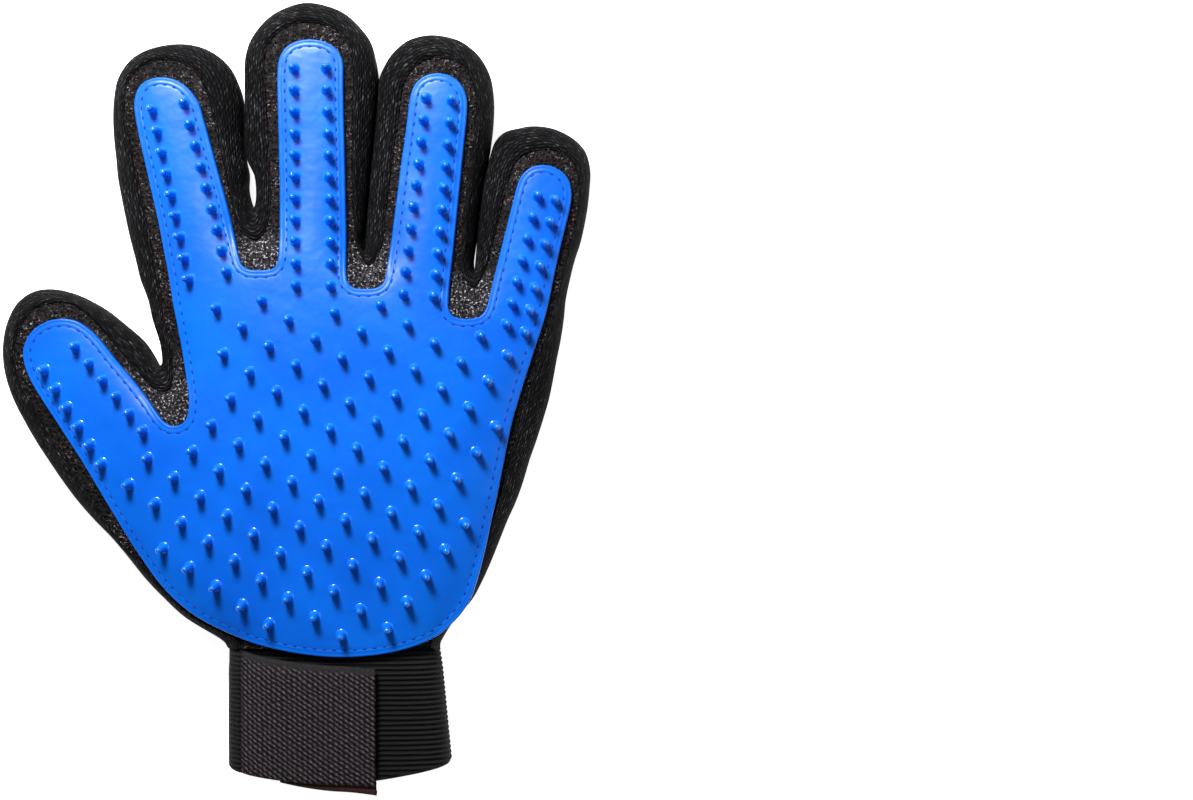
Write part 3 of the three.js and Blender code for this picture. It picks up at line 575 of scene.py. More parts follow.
def knit_material(name, painted_highlight_col=(0.30, 0.292, 0.325), dark=(0.0017, 0.0017, 0.0020), along=0.36, across=1.5):
    """Stretch knit: uv x runs along the wall, y across it. Fine rows of long stitches, dark, with pale streaks on the
    stitch tops that are painted highlights.
    """
    m, nt, b = make_material(name)
    vec, x, y = uv_mm(nt)
    # rows of stitches: each row shifted by half a stitch
    wob = math_node(nt, "MULTIPLY_ADD", noise(nt, mapped(nt, vec, (0.25, 0.25, 1)), 1.0, 2.0), 1.6, -0.8)
    row = math_node(nt, "MULTIPLY", math_node(nt, "ADD", y, wob), 1.0 / 0.95)
    cell = math_node(nt, "FLOOR", row)
    rf = math_node(nt, "FRACT", row)
    shift = math_node(nt, "MULTIPLY", math_node(nt, "FRACT", math_node(nt, "MULTIPLY", cell, 0.5)), 1.0)
    col_ = math_node(nt, "ADD", math_node(nt, "MULTIPLY", x, 1.0 / 2.0), shift)
    cf = math_node(nt, "FRACT", math_node(nt, "ADD", col_, math_node(nt, "MULTIPLY", rf, 0.5)))
    ridge = math_node(nt, "SINE", math_node(nt, "MULTIPLY", rf, math.pi))
    stitch = math_node(nt, "SINE", math_node(nt, "MULTIPLY", cf, math.pi))
    h = math_node(nt, "MULTIPLY", ridge, math_node(nt, "MULTIPLY_ADD", stitch, 0.6, 0.4))
    streak = noise(nt, mapped(nt, vec, (along, across, 1)), 1.0, 4.0, 0.6)
    # painted highlights: the stitch tops are coloured pale in streaks and patches
    painted_highlight_mask = math_node(nt, "MULTIPLY", math_node(nt, "POWER", h, 2.0), ramp(nt, streak, [(0.42, (0.008, 0.008, 0.008)), (0.56, (0.13, 0.13, 0.13)), (0.72, (1, 1, 1))]))
    patch = ramp(nt, noise(nt, vec, 0.07, 2.0), [(0.35, (0.35, 0.35, 0.35)), (0.7, (1, 1, 1))])
    painted_highlight_mask = math_node(nt, "MULTIPLY", painted_highlight_mask, patch)
    col = mix_rgb(nt, painted_highlight_mask, dark, painted_highlight_col)
    nt.links.new(col, b.inputs["Base Color"])
    b.inputs["Roughness"].default_value = 0.85
    b.inputs["Specular IOR Level"].default_value = 0.08
    b.inputs["Sheen Roughness"].default_value = 0.5
    fuzz = noise(nt, vec, 3.5, 3.0, 0.6)
    n1 = bump(nt, b, h, 0.8, 0.00035)
    bump(nt, b, fuzz, 0.35, 0.0002, n1)
    return m


CROTCHES = ((-34.1, -1.9), (-7.9, 38.2), (22.3, 34.4), (53.2, 27.1))


def mesh_material(name):
    """Open mesh knit with shiny thread loops; their glints of light are painted into the colour as pale spots (painted
    highlights).
    """
    m, nt, b = make_material(name)
    vec, x, y = uv_mm(nt)
    warp = N(nt, "ShaderNodeTexNoise", inputs={"Scale": 0.6, "Detail": 2.0})
    nt.links.new(vec, warp.inputs["Vector"])
    add = nt.nodes.new("ShaderNodeVectorMath")
    add.operation = "MULTIPLY_ADD"
    nt.links.new(warp.outputs[1], add.inputs[0])
    add.inputs[1].default_value = (0.9, 0.9, 0)
    nt.links.new(vec, add.inputs[2])
    v = N(nt, "ShaderNodeTexVoronoi", feature="DISTANCE_TO_EDGE", inputs={"Scale": 0.72, "Randomness": 0.6})
    nt.links.new(mapped(nt, add.outputs[0], (1.15, 1.0, 1)), v.inputs["Vector"])
    thread = ramp(nt, v.outputs[0], [(0.0, (1, 1, 1)), (0.16, (0.8, 0.8, 0.8)), (0.32, (0, 0, 0))])
    # painted highlights: random patches where the painted glints gather
    painted_glint_patches = ramp(nt, noise(nt, vec, 0.11, 2.0), [(0.38, (0.05, 0.05, 0.05)), (0.60, (1, 1, 1))])
    # painted highlights: small pale spots that stand in for glints of light on the thread
    painted_glint = ramp(nt, noise(nt, vec, 1.3, 3.0, 0.8), [(0.555, (0, 0, 0)), (0.60, (0.35, 0.35, 0.35)), (0.64, (1, 1, 1))])
    # mask near the crotches, where the painted glints are denser and the thread is painted lighter
    crotch_light_mask = None
    for cx, cy in CROTCHES:
        d = nt.nodes.new("ShaderNodeVectorMath")
        d.operation = "DISTANCE"
        nt.links.new(vec, d.inputs[0])
        d.inputs[1].default_value = (cx, cy, 0)
        near = ramp(nt, math_node(nt, "MULTIPLY", d.outputs["Value"], 0.05), [(0.30, (1, 1, 1)), (0.62, (0, 0, 0))])
        crotch_light_mask = near if crotch_light_mask is None else math_node(nt, "MAXIMUM", crotch_light_mask, near)
    painted_glint = math_node(nt, "MULTIPLY", painted_glint, math_node(nt, "MAXIMUM", math_node(nt, "MULTIPLY", painted_glint_patches, 0.65), crotch_light_mask))
    # colour of the painted glints: near-white near the crotches, partly reddish elsewhere
    painted_glint_tint_far = ramp(nt, noise(nt, vec, 0.45, 2.0), [(0.46, (0.80, 0.76, 0.80)), (0.58, (0.34, 0.09, 0.06))])
    painted_glint_tint = mix_rgb(nt, crotch_light_mask, painted_glint_tint_far, (0.80, 0.76, 0.80))
    # painted shade: the thread is darker away from the crotches, as shade beside the pad, and lighter near them
    lit = mix_rgb(nt, crotch_light_mask, (0.0065, 0.0048, 0.0048), (0.017, 0.015, 0.016))
    col = mix_rgb(nt, thread, (0.0011, 0.0011, 0.0012), lit)
    col = mix_rgb(nt, math_node(nt, "MULTIPLY", thread, painted_glint), col, painted_glint_tint)
    nt.links.new(col, b.inputs["Base Color"])
    b.inputs["Specular IOR Level"].default_value = 0.2
    nt.links.new(ramp(nt, painted_glint, [(0, (0.7, 0.7, 0.7)), (1, (0.3, 0.3, 0.3))]), b.inputs["Roughness"])
    bump(nt, b, thread, 1.0, 0.0006)
    return m


def rib_material(name):
    """Ribbed cuff knit: y across the ribs, in step with the modelled ribs; rib tops painted lighter and grooves darker,
    as painted shade.
    """
    m, nt, b = make_material(name)
    vec, x, y = uv_mm(nt)
    wobble = math_node(nt, "MULTIPLY_ADD", noise(nt, mapped(nt, vec, (0.12, 0.5, 1)), 1.0, 2.0), 0.5, -0.25)
    ph = math_node(nt, "MULTIPLY", math_node(nt, "ADD", y, wobble), math.pi / 1.46)
    ridge = math_node(nt, "ABSOLUTE", math_node(nt, "COSINE", ph))
    fib = noise(nt, mapped(nt, vec, (0.5, 3.0, 1)), 1.0, 3.0, 0.6)
    # painted shade: darker in the grooves between the ribs, lighter on their tops
    painted_rib_shade = math_node(nt, "MULTIPLY", math_node(nt, "POWER", ridge, 1.6), math_node(nt, "MULTIPLY_ADD", fib, 0.9, 0.3))
    col = mix_rgb(nt, painted_rib_shade, (0.0022, 0.0022, 0.0022), (0.0185, 0.0185, 0.0190))
    nt.links.new(col, b.inputs["Base Color"])
    b.inputs["Roughness"].default_value = 0.85
    b.inputs["Specular IOR Level"].default_value = 0.15
    b.inputs["Sheen Weight"].default_value = 0.02
    n1 = bump(nt, b, fib, 0.4, 0.0002)
    bump(nt, b, math_node(nt, "POWER", ridge, 1.2), 0.6, 0.0005, n1)
    return m


def tape_material(name):
    """Woven fastener tape: slanting rows of small pale knots, plain along its edges. uv x along, y across."""
    m, nt, b = make_material(name)
    vec, x, y = uv_mm(nt)
    w1 = math_node(nt, "MULTIPLY_ADD", noise(nt, vec, 0.30, 2.0), 0.9, -0.45)
    w2 = math_node(nt, "MULTIPLY_ADD", noise(nt, mapped(nt, vec, (1, 1, 1), (31, 7, 0)), 0.30, 2.0), 0.9, -0.45)
    xx = math_node(nt, "ADD", x, w1)
    yy = math_node(nt, "ADD", y, w2)
    s_ = math_node(nt, "DIVIDE", xx, -1.51)
    t_ = math_node(nt, "DIVIDE", math_node(nt, "ADD", yy, math_node(nt, "MULTIPLY", s_, 1.04)), 1.47)
    fs = math_node(nt, "FRACT", s_)
    ft = math_node(nt, "FRACT", t_)
    ridge = math_node(nt, "SINE", math_node(nt, "MULTIPLY", ft, math.pi))
    knot = math_node(nt, "SINE", math_node(nt, "MULTIPLY", fs, math.pi))
    h = math_node(nt, "MULTIPLY", math_node(nt, "POWER", ridge, 2.0), math_node(nt, "MULTIPLY_ADD", math_node(nt, "POWER", knot, 2.0), 0.75, 0.25))
    vary = ramp(nt, noise(nt, vec, 0.8, 2.0, 0.7), [(0.35, (0.30, 0.30, 0.30)), (0.68, (1, 1, 1))])
    edge = N(nt, "ShaderNodeAttribute", attribute_name="plain")
    body = math_node(nt, "SUBTRACT", 1.0, edge.outputs["Fac"], clamp=True)
    f = math_node(nt, "MULTIPLY", math_node(nt, "MULTIPLY", h, vary), body)
    weave = noise(nt, mapped(nt, vec, (3.0, 1.2, 1)), 1.0, 3.0, 0.7)
    selv = mix_rgb(nt, ramp(nt, weave, [(0.3, (0, 0, 0)), (0.75, (1, 1, 1))]), (0.006, 0.006, 0.006), (0.042, 0.040, 0.042))
    base = mix_rgb(nt, edge.outputs["Fac"], (0.0032, 0.0024, 0.0030), selv)
    col = mix_rgb(nt, f, base, (0.200, 0.168, 0.192))
    side = N(nt, "ShaderNodeAttribute", attribute_name="turn")
    dash = math_node(nt, "POWER", math_node(nt, "ABSOLUTE", math_node(nt, "SINE", math_node(nt, "MULTIPLY", yy, math.pi / 1.35))), 3.0)
    col = mix_rgb(nt, side.outputs["Fac"], col, mix_rgb(nt, math_node(nt, "MULTIPLY", dash, weave), (0.0030, 0.0026, 0.0028), (0.040, 0.034, 0.038)))
    nt.links.new(col, b.inputs["Base Color"])
    b.inputs["Roughness"].default_value = 0.75
    b.inputs["Specular IOR Level"].default_value = 0.10
    n1 = bump(nt, b, f, 1.0, 0.0005)
    bump(nt, b, weave, 0.5, 0.00015, n1)
    return m


def plain_fabric(name, a, c, rough=0.9, scale=2.5):
    m, nt, b = make_material(name)
    vec, x, y = uv_mm(nt)
    w = noise(nt, vec, scale, 4.0, 0.65)
    col = mix_rgb(nt, ramp(nt, w, [(0.3, (0, 0, 0)), (0.75, (1, 1, 1))]), a, c)
    nt.links.new(col, b.inputs["Base Color"])
    b.inputs["Roughness"].default_value = rough
    b.inputs["Specular IOR Level"].default_value = 0.25
    bump(nt, b, w, 0.7, 0.0003)
    return m


M_RUBBER = rubber_material("rubber_blue")
# painted light: the nubs are the same rubber as the pad, given a lighter blue to make up for the shade on their sides
M_NUB_PAINTED_LIGHT = rubber_material("rubber_nub_painted_light", (0.0016, 0.205, 0.95), (0.0014, 0.165, 0.88), 0.20, 0.8)
M_THREAD = plain_fabric("blue_thread", (0.002, 0.028, 0.30), (0.006, 0.070, 0.48), 0.6, 3.0)
M_KNIT = knit_material("side_knit")
M_BACK = knit_material("back_knit", (0.30, 0.295, 0.32), (0.005, 0.005, 0.006))
M_MESH = mesh_material("palm_mesh")
M_CUFF = rib_material("cuff_rib")
M_TAPE = tape_material("strap_tape")
M_HOOK = plain_fabric("hook_patch", (0.014, 0.006, 0.006), (0.085, 0.030, 0.027), 0.8, 2.2)
M_LOOP = plain_fabric("loop_panel", (0.006, 0.006, 0.006), (0.02, 0.02, 0.021), 0.95, 1.8)
M_BLACK_THREAD = plain_fabric("black_thread", (0.008, 0.008, 0.009), (0.03, 0.03, 0.032), 0.6, 3.0)

# ---------------------------------------------------------------- mesh palm side
step_front = 1.4
front_loop = np.vstack([SEAM, np.stack([np.linspace(SEAM[-1, 0], SEAM[0, 0], 46)[1:-1], np.full(44, 0.0)], 1)])
front_loop[len(SEAM):, 1] = np.interp(front_loop[len(SEAM):, 0], [SEAM[0, 0], SEAM[-1, 0]], [SEAM[0, 1], SEAM[-1, 1]])
v2, tris = triangulate([front_loop], hexgrid(step_front, front_loop, 0.75))
vz = np.where(np.hypot(v2[:, None, 0] - SEAM[None, ::2, 0], v2[:, None, 1] - SEAM[None, ::2, 1]).min(1) < 0.3, SEAM_Z, z_front(v2[:, 0], v2[:, 1])) if len(v2) < 30000 else z_front(v2[:, 0], v2[:, 1])
V = np.column_stack([v2, vz])
cent = np.array([v2[list(t)].mean(0) for t in tris])
split_pieces("mesh_front", V, tris, finger_of(cent[:, 0], cent[:, 1]), v2, M_MESH, ["{}_mesh_panel"], ["palm_mesh_panel"])

# -------------------------------------------------------------------- side walls
n_st = len(SEAM)
arc = np.concatenate([[0], np.cumsum(np.hypot(*np.diff((SEAM + WIDE) / 2, axis=0).T))])
rows = 20
V, UVS = [], []
top_w = lambda a: np.sin(a) ** 0.85
prof = []
for k in range(11):           # seam down to the widest line
    a = k / 10 * math.pi / 2
    w = math.sin(a) ** 0.9
    z = WIDE_Z + (SEAM_Z - WIDE_Z) * math.cos(a) ** 0.9
    z += 0.9 * math.exp(-((w - 0.22) / 0.16) ** 2) - 0.5 * math.exp(-(w / 0.07) ** 2)
    prof.append((w, z))
for k in range(1, 10):        # widest line down to the back seam
    a = k / 9 * math.pi / 2
    w = 1 - 0.67 * (1 - math.cos(a)) ** 1.0
    z = WIDE_Z - (WIDE_Z - 0.9) * math.sin(a)
    prof.append((w, z))
prof_len = np.concatenate([[0], np.cumsum([math.hypot((b[0] - a[0]) * 7, b[1] - a[1]) for a, b in zip(prof, prof[1:])])])
for i in range(n_st):
    t, s = SEAM[i], WIDE[i]
    for j, (w, z) in enumerate(prof):
        p = t + (s - t) * w
        V.append((p[0], p[1], z))
        UVS.append((arc[i], prof_len[j]))
V = np.array(V)
nr = len(prof)
F, FID = [], []
cro = [int(c * 6) for c in CROTCH]
for i in range(n_st - 1):
    k = sum(i >= c for c in cro)
    for j in range(nr - 1):
        a = i * nr + j
        F.append((a, a + nr, a + nr + 1, a + 1))
        FID.append(k)
# gentle gathers and slack in the cloth, along the wall's own outward direction
out2 = np.repeat((WIDE - SEAM) / np.maximum(np.hypot(*(WIDE - SEAM).T), 0.5)[:, None], nr, 0)
ww = np.tile([p[0] for p in prof], n_st)
amp = np.sin(np.clip(ww, 0, 1) * math.pi) * 0.35
ripple = lumps(np.repeat(arc, nr), np.tile(prof_len, n_st) * 2.0, 5, 14.0)
V[:, :2] -= out2 * (amp * (0.5 + ripple))[:, None] * 0.5
V[:, 2] += amp * ripple * 0.8
split_pieces("side_wall", V, F, FID, UVS, M_KNIT, ["{}_side_gusset"],
             ["thumb_side_gusset_palm", "little_side_gusset_palm", "web_gusset_thumb_index", "web_gusset_index_middle", "web_gusset_middle_ring", "web_gusset_ring_little"])

# -------------------------------------------------------------------- back panel
BACKL = SEAM + (WIDE - SEAM) * 0.33
bl, _ = resample(np.vstack([BACKL]), 1.3)
n_w = 40
bot = np.stack([np.linspace(bl[-1, 0], bl[0, 0], n_w)[1:-1], np.linspace(bl[-1, 1], bl[0, 1], n_w)[1:-1]], 1)
back_loop = np.vstack([bl, bot])
v2, tris = triangulate([back_loop], hexgrid(3.0, back_loop, 1.2))
d = np.zeros(len(v2))
for s in range(0, len(v2), 2000):
    d[s:s + 2000] = np.hypot(v2[s:s + 2000, None, 0] - bl[None, :, 0], v2[s:s + 2000, None, 1] - bl[None, :, 1]).min(1)
V = np.column_stack([v2, 0.9 * np.exp(-(d / 2.2) ** 2) + 0.05])
cent = np.array([v2[list(t)].mean(0) for t in tris])
split_pieces("back_panel", V, [t[::-1] for t in tris], finger_of(cent[:, 0], cent[:, 1]), v2[:, ::-1], M_BACK, ["{}_back_panel"], ["palm_back_panel"])

# -------------------------------------------------------------------- rubber pad
pd = spline(PAD, 6, True)
pd, plen = resample(pd, 0.62, True)
n_p = len(pd)
tang = np.roll(pd, -1, 0) - np.roll(pd, 1, 0)
for _ in range(4):
    tang = (np.roll(tang, 1, 0) + tang * 2 + np.roll(tang, -1, 0))
tang /= np.hypot(*tang.T)[:, None]
inward = np.stack([tang[:, 1], -tang[:, 0]], 1)     # clockwise outline: inside is to the right
# (distance in from the edge, height over the pad's face)
rim = [(0.10, -1.75), (0.0, -1.45), (0.0, -0.6), (0.03, -0.3), (0.12, -0.08), (0.26, 0.04), (0.44, 0.07), (0.66, 0.02),
       (0.95, -0.03), (1.35, 0.02), (1.65, 0.06), (1.9, 0.02), (2.1, -0.05), (2.3, -0.06), (2.55, -0.02), (2.9, 0.0)]
V, UVS = [], []
for e, h in rim:
    p = pd + inward * e
    V.append(np.column_stack([p, z_pad(p[:, 0], p[:, 1]) + h]))
V = np.concatenate(V)
F = []
for r in range(len(rim) - 1):
    for i in range(n_p):
        j = (i + 1) % n_p
        F.append((r * n_p + j, r * n_p + i, (r + 1) * n_p + i, (r + 1) * n_p + j))
loop = V[-n_p:, :2]
v2, tris = triangulate([loop], hexgrid(1.5, loop, 0.8))
base = len(V)
V = np.vstack([V, np.column_stack([v2, z_pad(v2[:, 0], v2[:, 1])])])
F += [tuple(base + i for i in t) for t in tris]
cent = np.array([V[list(f), :2].mean(0) for f in F])
pads = split_pieces("rubber_pad", V, F, finger_of(cent[:, 0], cent[:, 1]), V[:, :2], M_RUBBER, ["{}_rubber_pad"], ["palm_rubber_pad"], merge=0.002)

# nubs
nubs = []
for x0, y0, x1, y1, n in COLUMNS:
    for i in range(n):
        nubs.append((x0 + (x1 - x0) * i / (n - 1), y0 + (y1 - y0) * i / (n - 1)))
for j, a, b in LATTICE_ROWS:
    for i in range(a, b + 1):
        nubs.append((LATTICE_O[0] + LATTICE_A[0] * i + LATTICE_B[0] * j, LATTICE_O[1] + LATTICE_A[1] * i + LATTICE_B[1] * j))
nubs = np.array(nubs)
NP = [(2.0, -0.10), (1.66, 0.05), (1.38, 0.28), (1.25, 0.75), (1.18, 1.7), (1.12, 2.8), (1.06, 3.6), (0.95, 4.12), (0.74, 4.46), (0.45, 4.66), (0.2, 4.73), (0.0, NUB_H)]
SEG = 14


def nub_mesh(points):
    V, F, UVS = [], [], []
    for cx, cy in points:
        h = 1.0
        gxn = (z_pad(cx + h, cy) - z_pad(cx - h, cy)) / (2 * h)
        gyn = (z_pad(cx, cy + h) - z_pad(cx, cy - h)) / (2 * h)
        n = np.array([-gxn, -gyn, 1.0])
        n /= np.linalg.norm(n)
        e1 = np.cross([0, 1, 0], n)
        e1 /= np.linalg.norm(e1)
        e2 = np.cross(n, e1)
        o = np.array([cx, cy, float(z_pad(cx, cy))])
        base = len(V)
        spin = rng.uniform(0, 1)
        for r, hh in NP[:-1]:
            for k in range(SEG):
                a = (k + spin) / SEG * math.tau
                V.append(o + e1 * (r * math.cos(a)) + e2 * (r * math.sin(a)) + n * hh)
                UVS.append((cx + a * 1.2, cy + hh))
        V.append(o + n * NP[-1][1])
        UVS.append((cx, cy + 5))
        for q in range(len(NP) - 2):
            for k in range(SEG):
                a, b = base + q * SEG + k, base + q * SEG + (k + 1) % SEG
                F.append((a, b, b + SEG, a + SEG))
        top = base + (len(NP) - 2) * SEG
        for k in range(SEG):
            F.append((top + k, top + (k + 1) % SEG, base + (len(NP) - 1) * SEG))
    return V, F, UVS


owner = finger_of(nubs[:, 0], nubs[:, 1])
for k in range(len(FINGERS)):
    f = FINGERS[k]
    owner[(owner == k) & (past(f, nubs[:, 0], nubs[:, 1]) <= 0)] = -1
for k in range(-1, len(FINGERS)):
    pts = nubs[owner == k]
    V, F, UVS = nub_mesh(pts)
    name = "palm" if k < 0 else FINGERS[k]
    ob = new_object(f"{name}_nubs", V, F, UVS, M_NUB_PAINTED_LIGHT)
    if k < 0:
        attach(ob, "palm")
    else:
        bend_piece(ob)

# stitches along the pad
def capsule(a, b, up, r, seg=6, sink=0.0):
    """A short thread bulge from a to b, with ends that dive into the surface."""
    a, b, up = map(np.asarray, (a, b, up))
    d = b - a
    L = np.linalg.norm(d)
    d = d / L
    side = np.cross(up, d)
    V, F = [], []
    st = [0.0, 0.12, 0.3, 0.5, 0.7, 0.88, 1.0]
    for t in st:
        lift = math.sin(t * math.pi) ** 0.6
        rad = r * (0.55 + 0.45 * lift)
        c = a + d * (L * t) + up * (r * (1.3 * lift - 1.0))
        for k in range(seg):
            q = k / seg * math.tau
            V.append(c + side * (rad * math.cos(q)) + up * (rad * 0.9 * math.sin(q)))
    n = len(st)
    for i in range(n - 1):
        for k in range(seg):
            F.append((i * seg + k, i * seg + (k + 1) % seg, (i + 1) * seg + (k + 1) % seg, (i + 1) * seg + k))
    F.append(tuple(range(seg))[::-1])
    F.append(tuple((n - 1) * seg + k for k in range(seg)))
    return V, F


def stitch_run(path, pitch, length, r, zfun, jitter=0.05):
    """Stitches along a closed 2D path."""
    q = np.vstack([path, path[:1]])
    s = np.concatenate([[0], np.cumsum(np.hypot(*np.diff(q, axis=0).T))])
    n = int(round(s[-1] / pitch))
    pitch = s[-1] / n
    made = []
    for i in range(n):
        c = (i + 0.5) * pitch + rng.uniform(-jitter, jitter)
        pa = [np.interp(c - length / 2, s, q[:, k]) for k in (0, 1)]
        pb = [np.interp(c + length / 2, s, q[:, k]) for k in (0, 1)]
        a = (*pa, float(zfun(*pa)))
        b = (*pb, float(zfun(*pb)))
        made.append(((pa[0] + pb[0]) / 2, (pa[1] + pb[1]) / 2, capsule(a, b, (0, 0, 1), r)))
    return made


st_path = pd + inward * 2.2
made = stitch_run(st_path, 2.9, 1.75, 0.31, lambda x, y: z_pad(x, y) - 0.17)
mx = np.array([m[0] for m in made])
my = np.array([m[1] for m in made])
own = finger_of(mx, my)
for k, f in enumerate(FINGERS):
    own[(own == k) & (past(f, mx, my) <= 0)] = -1
for k in range(-1, len(FINGERS)):
    V, F, UVS = [], [], []
    for m, o in zip(made, own):
        if o != k:
            continue
        base = len(V)
        V += m[2][0]
        F += [tuple(base + i for i in f) for f in m[2][1]]
    name = "palm" if k < 0 else FINGERS[k]
    V = np.array(V)
    ob = new_object(f"{name}_pad_stitches", V, F, V[:, :2], M_THREAD)
    if k < 0:
        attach(ob, "palm")
    else:
        bend_piece(ob)

# -------------------------------------------------------------------- wrist cuff
CUFF_Z, CUFF_B = 11.2, 10.4


def cuff_point(a, y, offset):
    t = np.clip((-77.2 - y) / 32.2, -0.2, 1.2)
    tuck = 2.0 * np.clip((y + 82.0) / 8.0, 0, 1) ** 1.3
    A = 29.9 + 1.5 * t + offset - tuck * 0.2
    B = CUFF_B + offset - tuck
    c, s = math.cos(a), math.sin(a)
    return (13.2 + 1.6 * t + A * math.copysign(abs(c) ** (2 / 2.9), c), CUFF_Z + B * math.copysign(abs(s) ** (2 / 2.9), s))


def cuff_low(a):
    return -109.3 - 5.0 * (1 - abs(math.cos(a)) ** (2 / 2.9)) ** 0.85 * (1 if math.sin(a) > 0 else 0.25)


AR = 150
rib_pitch = 1.46
V, UVS, F = [], [], []
angs = [k / AR * math.tau for k in range(AR)]
n_rows = 200
outer_rows = []
circ = [0.0]
for k in range(AR):
    p, q = cuff_point(angs[k], -95, 0), cuff_point(angs[(k + 1) % AR], -95, 0)
    circ.append(circ[-1] + math.hypot(p[0] - q[0], p[1] - q[1]))
for i in range(n_rows + 1):
    t = i / n_rows
    for k, a in enumerate(angs):
        low = cuff_low(a)
        y = -70.5 + (low + 70.5) * t
        ph = (y + 0.25 * math.sin(a * 3)) / rib_pitch * math.tau
        rib = 0.52 * (abs(math.cos(ph / 2)) ** 0.9 - 0.5) * min(1.0, (1 - t) * 30)
        end = 0.5 * (max(0.0, (t - 0.975) / 0.025)) ** 2
        x, z = cuff_point(a, y, rib - end)
        V.append((x, y, z))
        UVS.append((circ[k], y))
for t, off in ((1.0, -1.0), (0.985, -1.7), (0.6, -1.9), (0.3, -1.9), (0.0, -1.9)):
    for k, a in enumerate(angs):
        y = -70.5 + (cuff_low(a) - (0.25 if off == -1.0 else 0) + 70.5) * t
        x, z = cuff_point(a, y, off)
        V.append((x, y, z))
        UVS.append((circ[k], y))
total = n_rows + 6
for i in range(total - 1):
    for k in range(AR):
        j = (k + 1) % AR
        F.append((i * AR + k, i * AR + j, (i + 1) * AR + j, (i + 1) * AR + k))
cuff = new_object("cuff_tube", V, F, UVS, M_CUFF)
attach(cuff, "palm")
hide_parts("cuff_band")


# a band of tape that follows the cuff's surface
def band_piece(name, path, top, bottom, lo, hi, material, nodes, plain=None, wave=0.0, edge_round=0.35, rag=0.0, seed=1, crease=None):
    """path: list of angles. top/bottom: y at each end. lo/hi: offsets of the two faces."""
    r = np.random.default_rng(seed)
    n = len(path)
    across = 60
    pts_len = [0.0]
    for a, b in zip(path, path[1:]):
        p, q = cuff_point(a, -95, hi), cuff_point(b, -95, hi)
        pts_len.append(pts_len[-1] + math.hypot(p[0] - q[0], p[1] - q[1]))
    rowsV, uv, pl = [], [], []
    jag = r.uniform(-1, 1, across + 1)

    def lean(y, off):
        return cuff_point(path[0], y, off)[0] - cuff_point(path[0], -95, off)[0] if crease is not None else 0.0

    for i, a in enumerate(path):
        t = i / (n - 1)
        y0, y1 = top[0] + (top[1] - top[0]) * t, bottom[0] + (bottom[1] - bottom[0]) * t
        ring = []
        for j in range(across + 1):
            s = j / across
            y = y0 + (y1 - y0) * s
            th = min(s, 1 - s) * abs(y1 - y0)
            rnd = edge_round * (1 - min(1.0, th / 0.5)) ** 2
            w = wave * math.sin(t * 5 + s * 4)
            end = min(t * pts_len[-1], 0.8) / 0.8
            x, z = cuff_point(a, y, hi - rnd + w)
            x -= lean(y, hi) * max(0.0, 1 - t / 0.5)
            if crease is not None:
                z -= 0.35 * math.exp(-((x - crease) / 0.5) ** 2)
            if i == 0 and rag:
                x += rag * jag[j]
            ring.append((x, y, z))
            uv.append((pts_len[i], y))
            side = 0.0 if crease is None else 0.62 * max(0.0, min(1.0, (crease + 0.3 - x) / 0.6))
            from_top = s * abs(y1 - y0) if crease is not None and crease < 0 else th
            pl.append(max(side, max(0.0, min(1.0, ((plain or 0) + 0.3 - from_top) / 0.4))))
        for j in range(across, -1, -1):
            s = j / across
            y = y0 + (y1 - y0) * s
            w = wave * math.sin(t * 5 + s * 4)
            x, z = cuff_point(a, y, lo + w)
            x -= lean(y, lo) * max(0.0, 1 - t / 0.5)
            if i == 0 and rag:
                x += rag * jag[j]
            ring.append((x, y, z))
            uv.append((pts_len[i], y))
            pl.append(1.0)
        rowsV.append(ring)
    m = len(rowsV[0])
    V = np.array(rowsV).reshape(-1, 3)
    F = []
    for i in range(n - 1):
        for j in range(m):
            k = (j + 1) % m
            F.append((i * m + j, (i + 1) * m + j, (i + 1) * m + k, i * m + k))
    for i, flip in ((0, True), (n - 1, False)):
        for j in range(m // 2 - 1):
            q = [i * m + j, i * m + j + 1, i * m + m - 2 - j, i * m + m - 1 - j]
            F.append(tuple(q if flip else q[::-1]))
    ob = new_object(name, V, F, uv, material)
    at = ob.data.attributes.new("plain", "FLOAT", "POINT")
    at.data.foreach_set("value", np.array(pl, np.float32))
    turn = np.clip((crease + 0.3 - V[:, 0]) / 0.6, 0, 1) if crease is not None else np.zeros(len(V))
    at = ob.data.attributes.new("turn", "FLOAT", "POINT")
    at.data.foreach_set("value", turn.astype(np.float32))
    if nodes:
        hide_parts(*nodes)
    return ob


def arc_path(a, b, n):
    return [math.radians(a + (b - a) * i / n) for i in range(n + 1)]


def angle_at(x, y, off):
    """Angle on the front of the cuff where the surface is at x."""
    lo, hi = 0.02, math.pi - 0.02
    for _ in range(60):
        mid = (lo + hi) / 2
        if cuff_point(mid, y, off)[0] > x:
            lo = mid
        else:
            hi = mid
    return math.degrees((lo + hi) / 2)


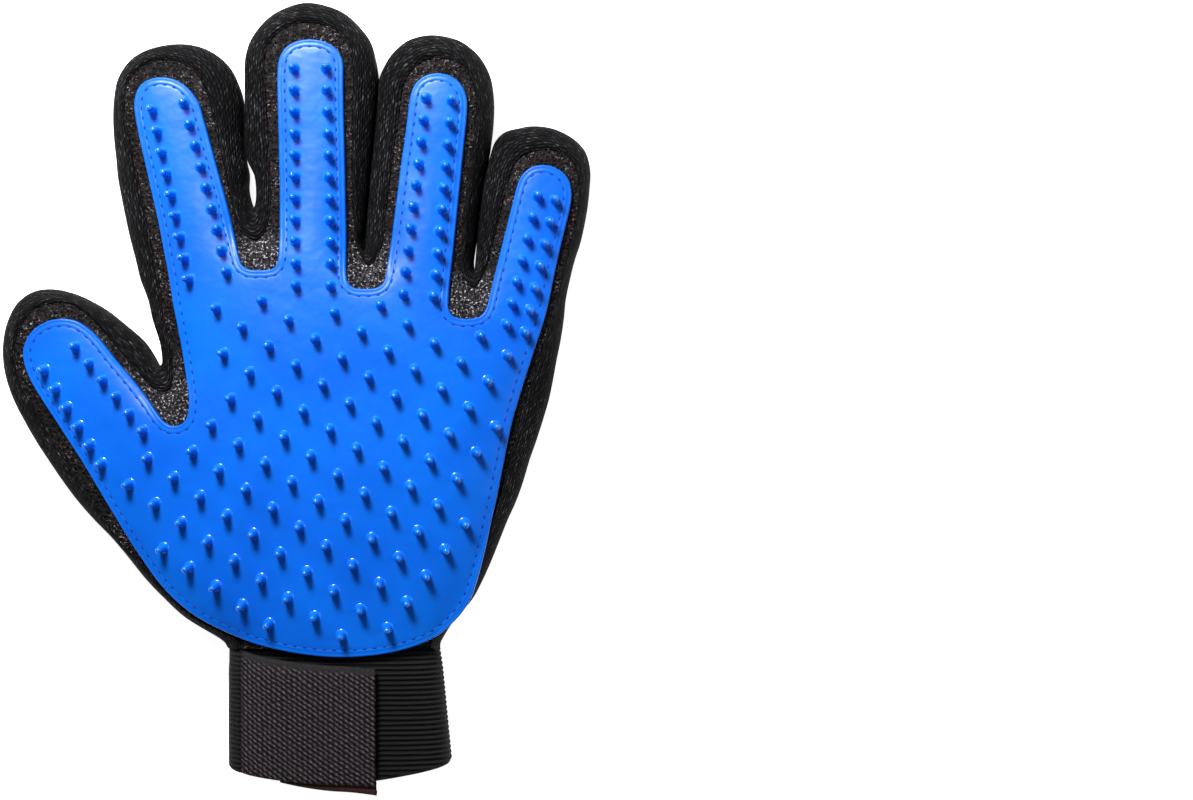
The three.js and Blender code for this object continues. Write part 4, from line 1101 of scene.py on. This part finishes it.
loop_p = band_piece("loop_pile", arc_path(angle_at(22, -95, 0.5), 128, 30), (-80.5, -79.0), (-111.5, -108.2), 0.12, 0.75, M_LOOP, ["cuff_loop_panel"])
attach(loop_p, "palm")
hook = band_piece("hook_layer", arc_path(angle_at(24.2, -95, 1.2), angle_at(-3, -95, 1.2), 24), (-81.0, -80.2), (-116.9, -113.2), 0.85, 1.5, M_HOOK, ["strap_hook_patch"], rag=0.12, seed=4)
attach(hook, "strap")
a0 = angle_at(25.3, -95, 2.6)
tape_path = arc_path(a0, 140, 60) + arc_path(141.5, 176, 24)
tape = band_piece("strap_tape_woven", tape_path, (-80.0, -73.7), (-114.1, -109.7), 1.6, 2.75, M_TAPE, ["strap_tape"], plain=1.7, wave=0.05, rag=0.15, seed=2, crease=-14.2)
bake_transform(tape)
anchor = band_piece("strap_anchor_fold", arc_path(176.2, 205, 16), (-73.7, -75.2), (-109.6, -108.8), 0.15, 2.75, M_TAPE, ["strap_anchor"], plain=1.7, crease=90.0)
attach(anchor, "palm")

# ------------------------------------------------------------- floor and studio
me = bpy.data.meshes.new("floor")
me.from_pydata([(-3, -3, 0), (3, -3, 0), (3, 3, 0), (-3, 3, 0)], [], [(0, 1, 2, 3)])
floor = bpy.data.objects.new("floor", me)
bpy.context.scene.collection.objects.link(floor)
fm, fnt, fb = make_material("floor_white")
fb.inputs["Base Color"].default_value = (0.93, 0.93, 0.93, 1)
fb.inputs["Roughness"].default_value = 0.9
fb.inputs["Specular IOR Level"].default_value = 0.1
fb.inputs["Emission Color"].default_value = (1, 1, 1, 1)
fb.inputs["Emission Strength"].default_value = 0.92
me.materials.append(fm)

world = bpy.data.worlds.new("studio")
bpy.context.scene.world = world
world.use_nodes = True
world.node_tree.nodes["Background"].inputs[0].default_value = (1, 1, 1, 1)
world.node_tree.nodes["Background"].inputs[1].default_value = 0.075


def area(name, loc, target, size, power, size_y=None, colour=(1, 1, 1)):
    l = bpy.data.lights.new(name, "AREA")
    l.shape = "RECTANGLE"
    l.size, l.size_y = size, size_y or size
    l.energy = power
    l.color = colour
    o = bpy.data.objects.new(name, l)
    o.location = loc
    o.rotation_euler = (Vector(target) - Vector(loc)).to_track_quat("-Z", "Y").to_euler()
    bpy.context.scene.collection.objects.link(o)
    return o


main = area("main", (-0.085, 0.33, 0.38), (0.0, 0.055, 0.02), 0.15, 1.06, 0.13)
main.data.spread = math.radians(95)
area("sheen", (-0.075, 0.225, 0.52), (0.01, 0.07, 0.02), 0.07, 0.22)
area("left_key", (-0.40, 0.20, 0.40), (-0.01, 0.0, 0.02), 0.07, 0.10)
area("right_fill", (0.44, 0.0, 0.40), (0.05, -0.02, 0.0), 0.25, 0.36)

cam = bpy.data.cameras.new("camera")
cam.lens = LENS
cam.sensor_width = 36.0
cam.clip_start, cam.clip_end = 0.01, 20
cob = bpy.data.objects.new("camera", cam)
cob.location = tuple(c * MM for c in CAMERA)
cob.rotation_euler = (0, 0, 0)
bpy.context.scene.collection.objects.link(cob)
bpy.context.scene.camera = cob
bpy.context.scene.view_settings.view_transform = "Standard"
bpy.context.scene.view_settings.look = "None"
bpy.context.scene.view_settings.exposure = 0.0
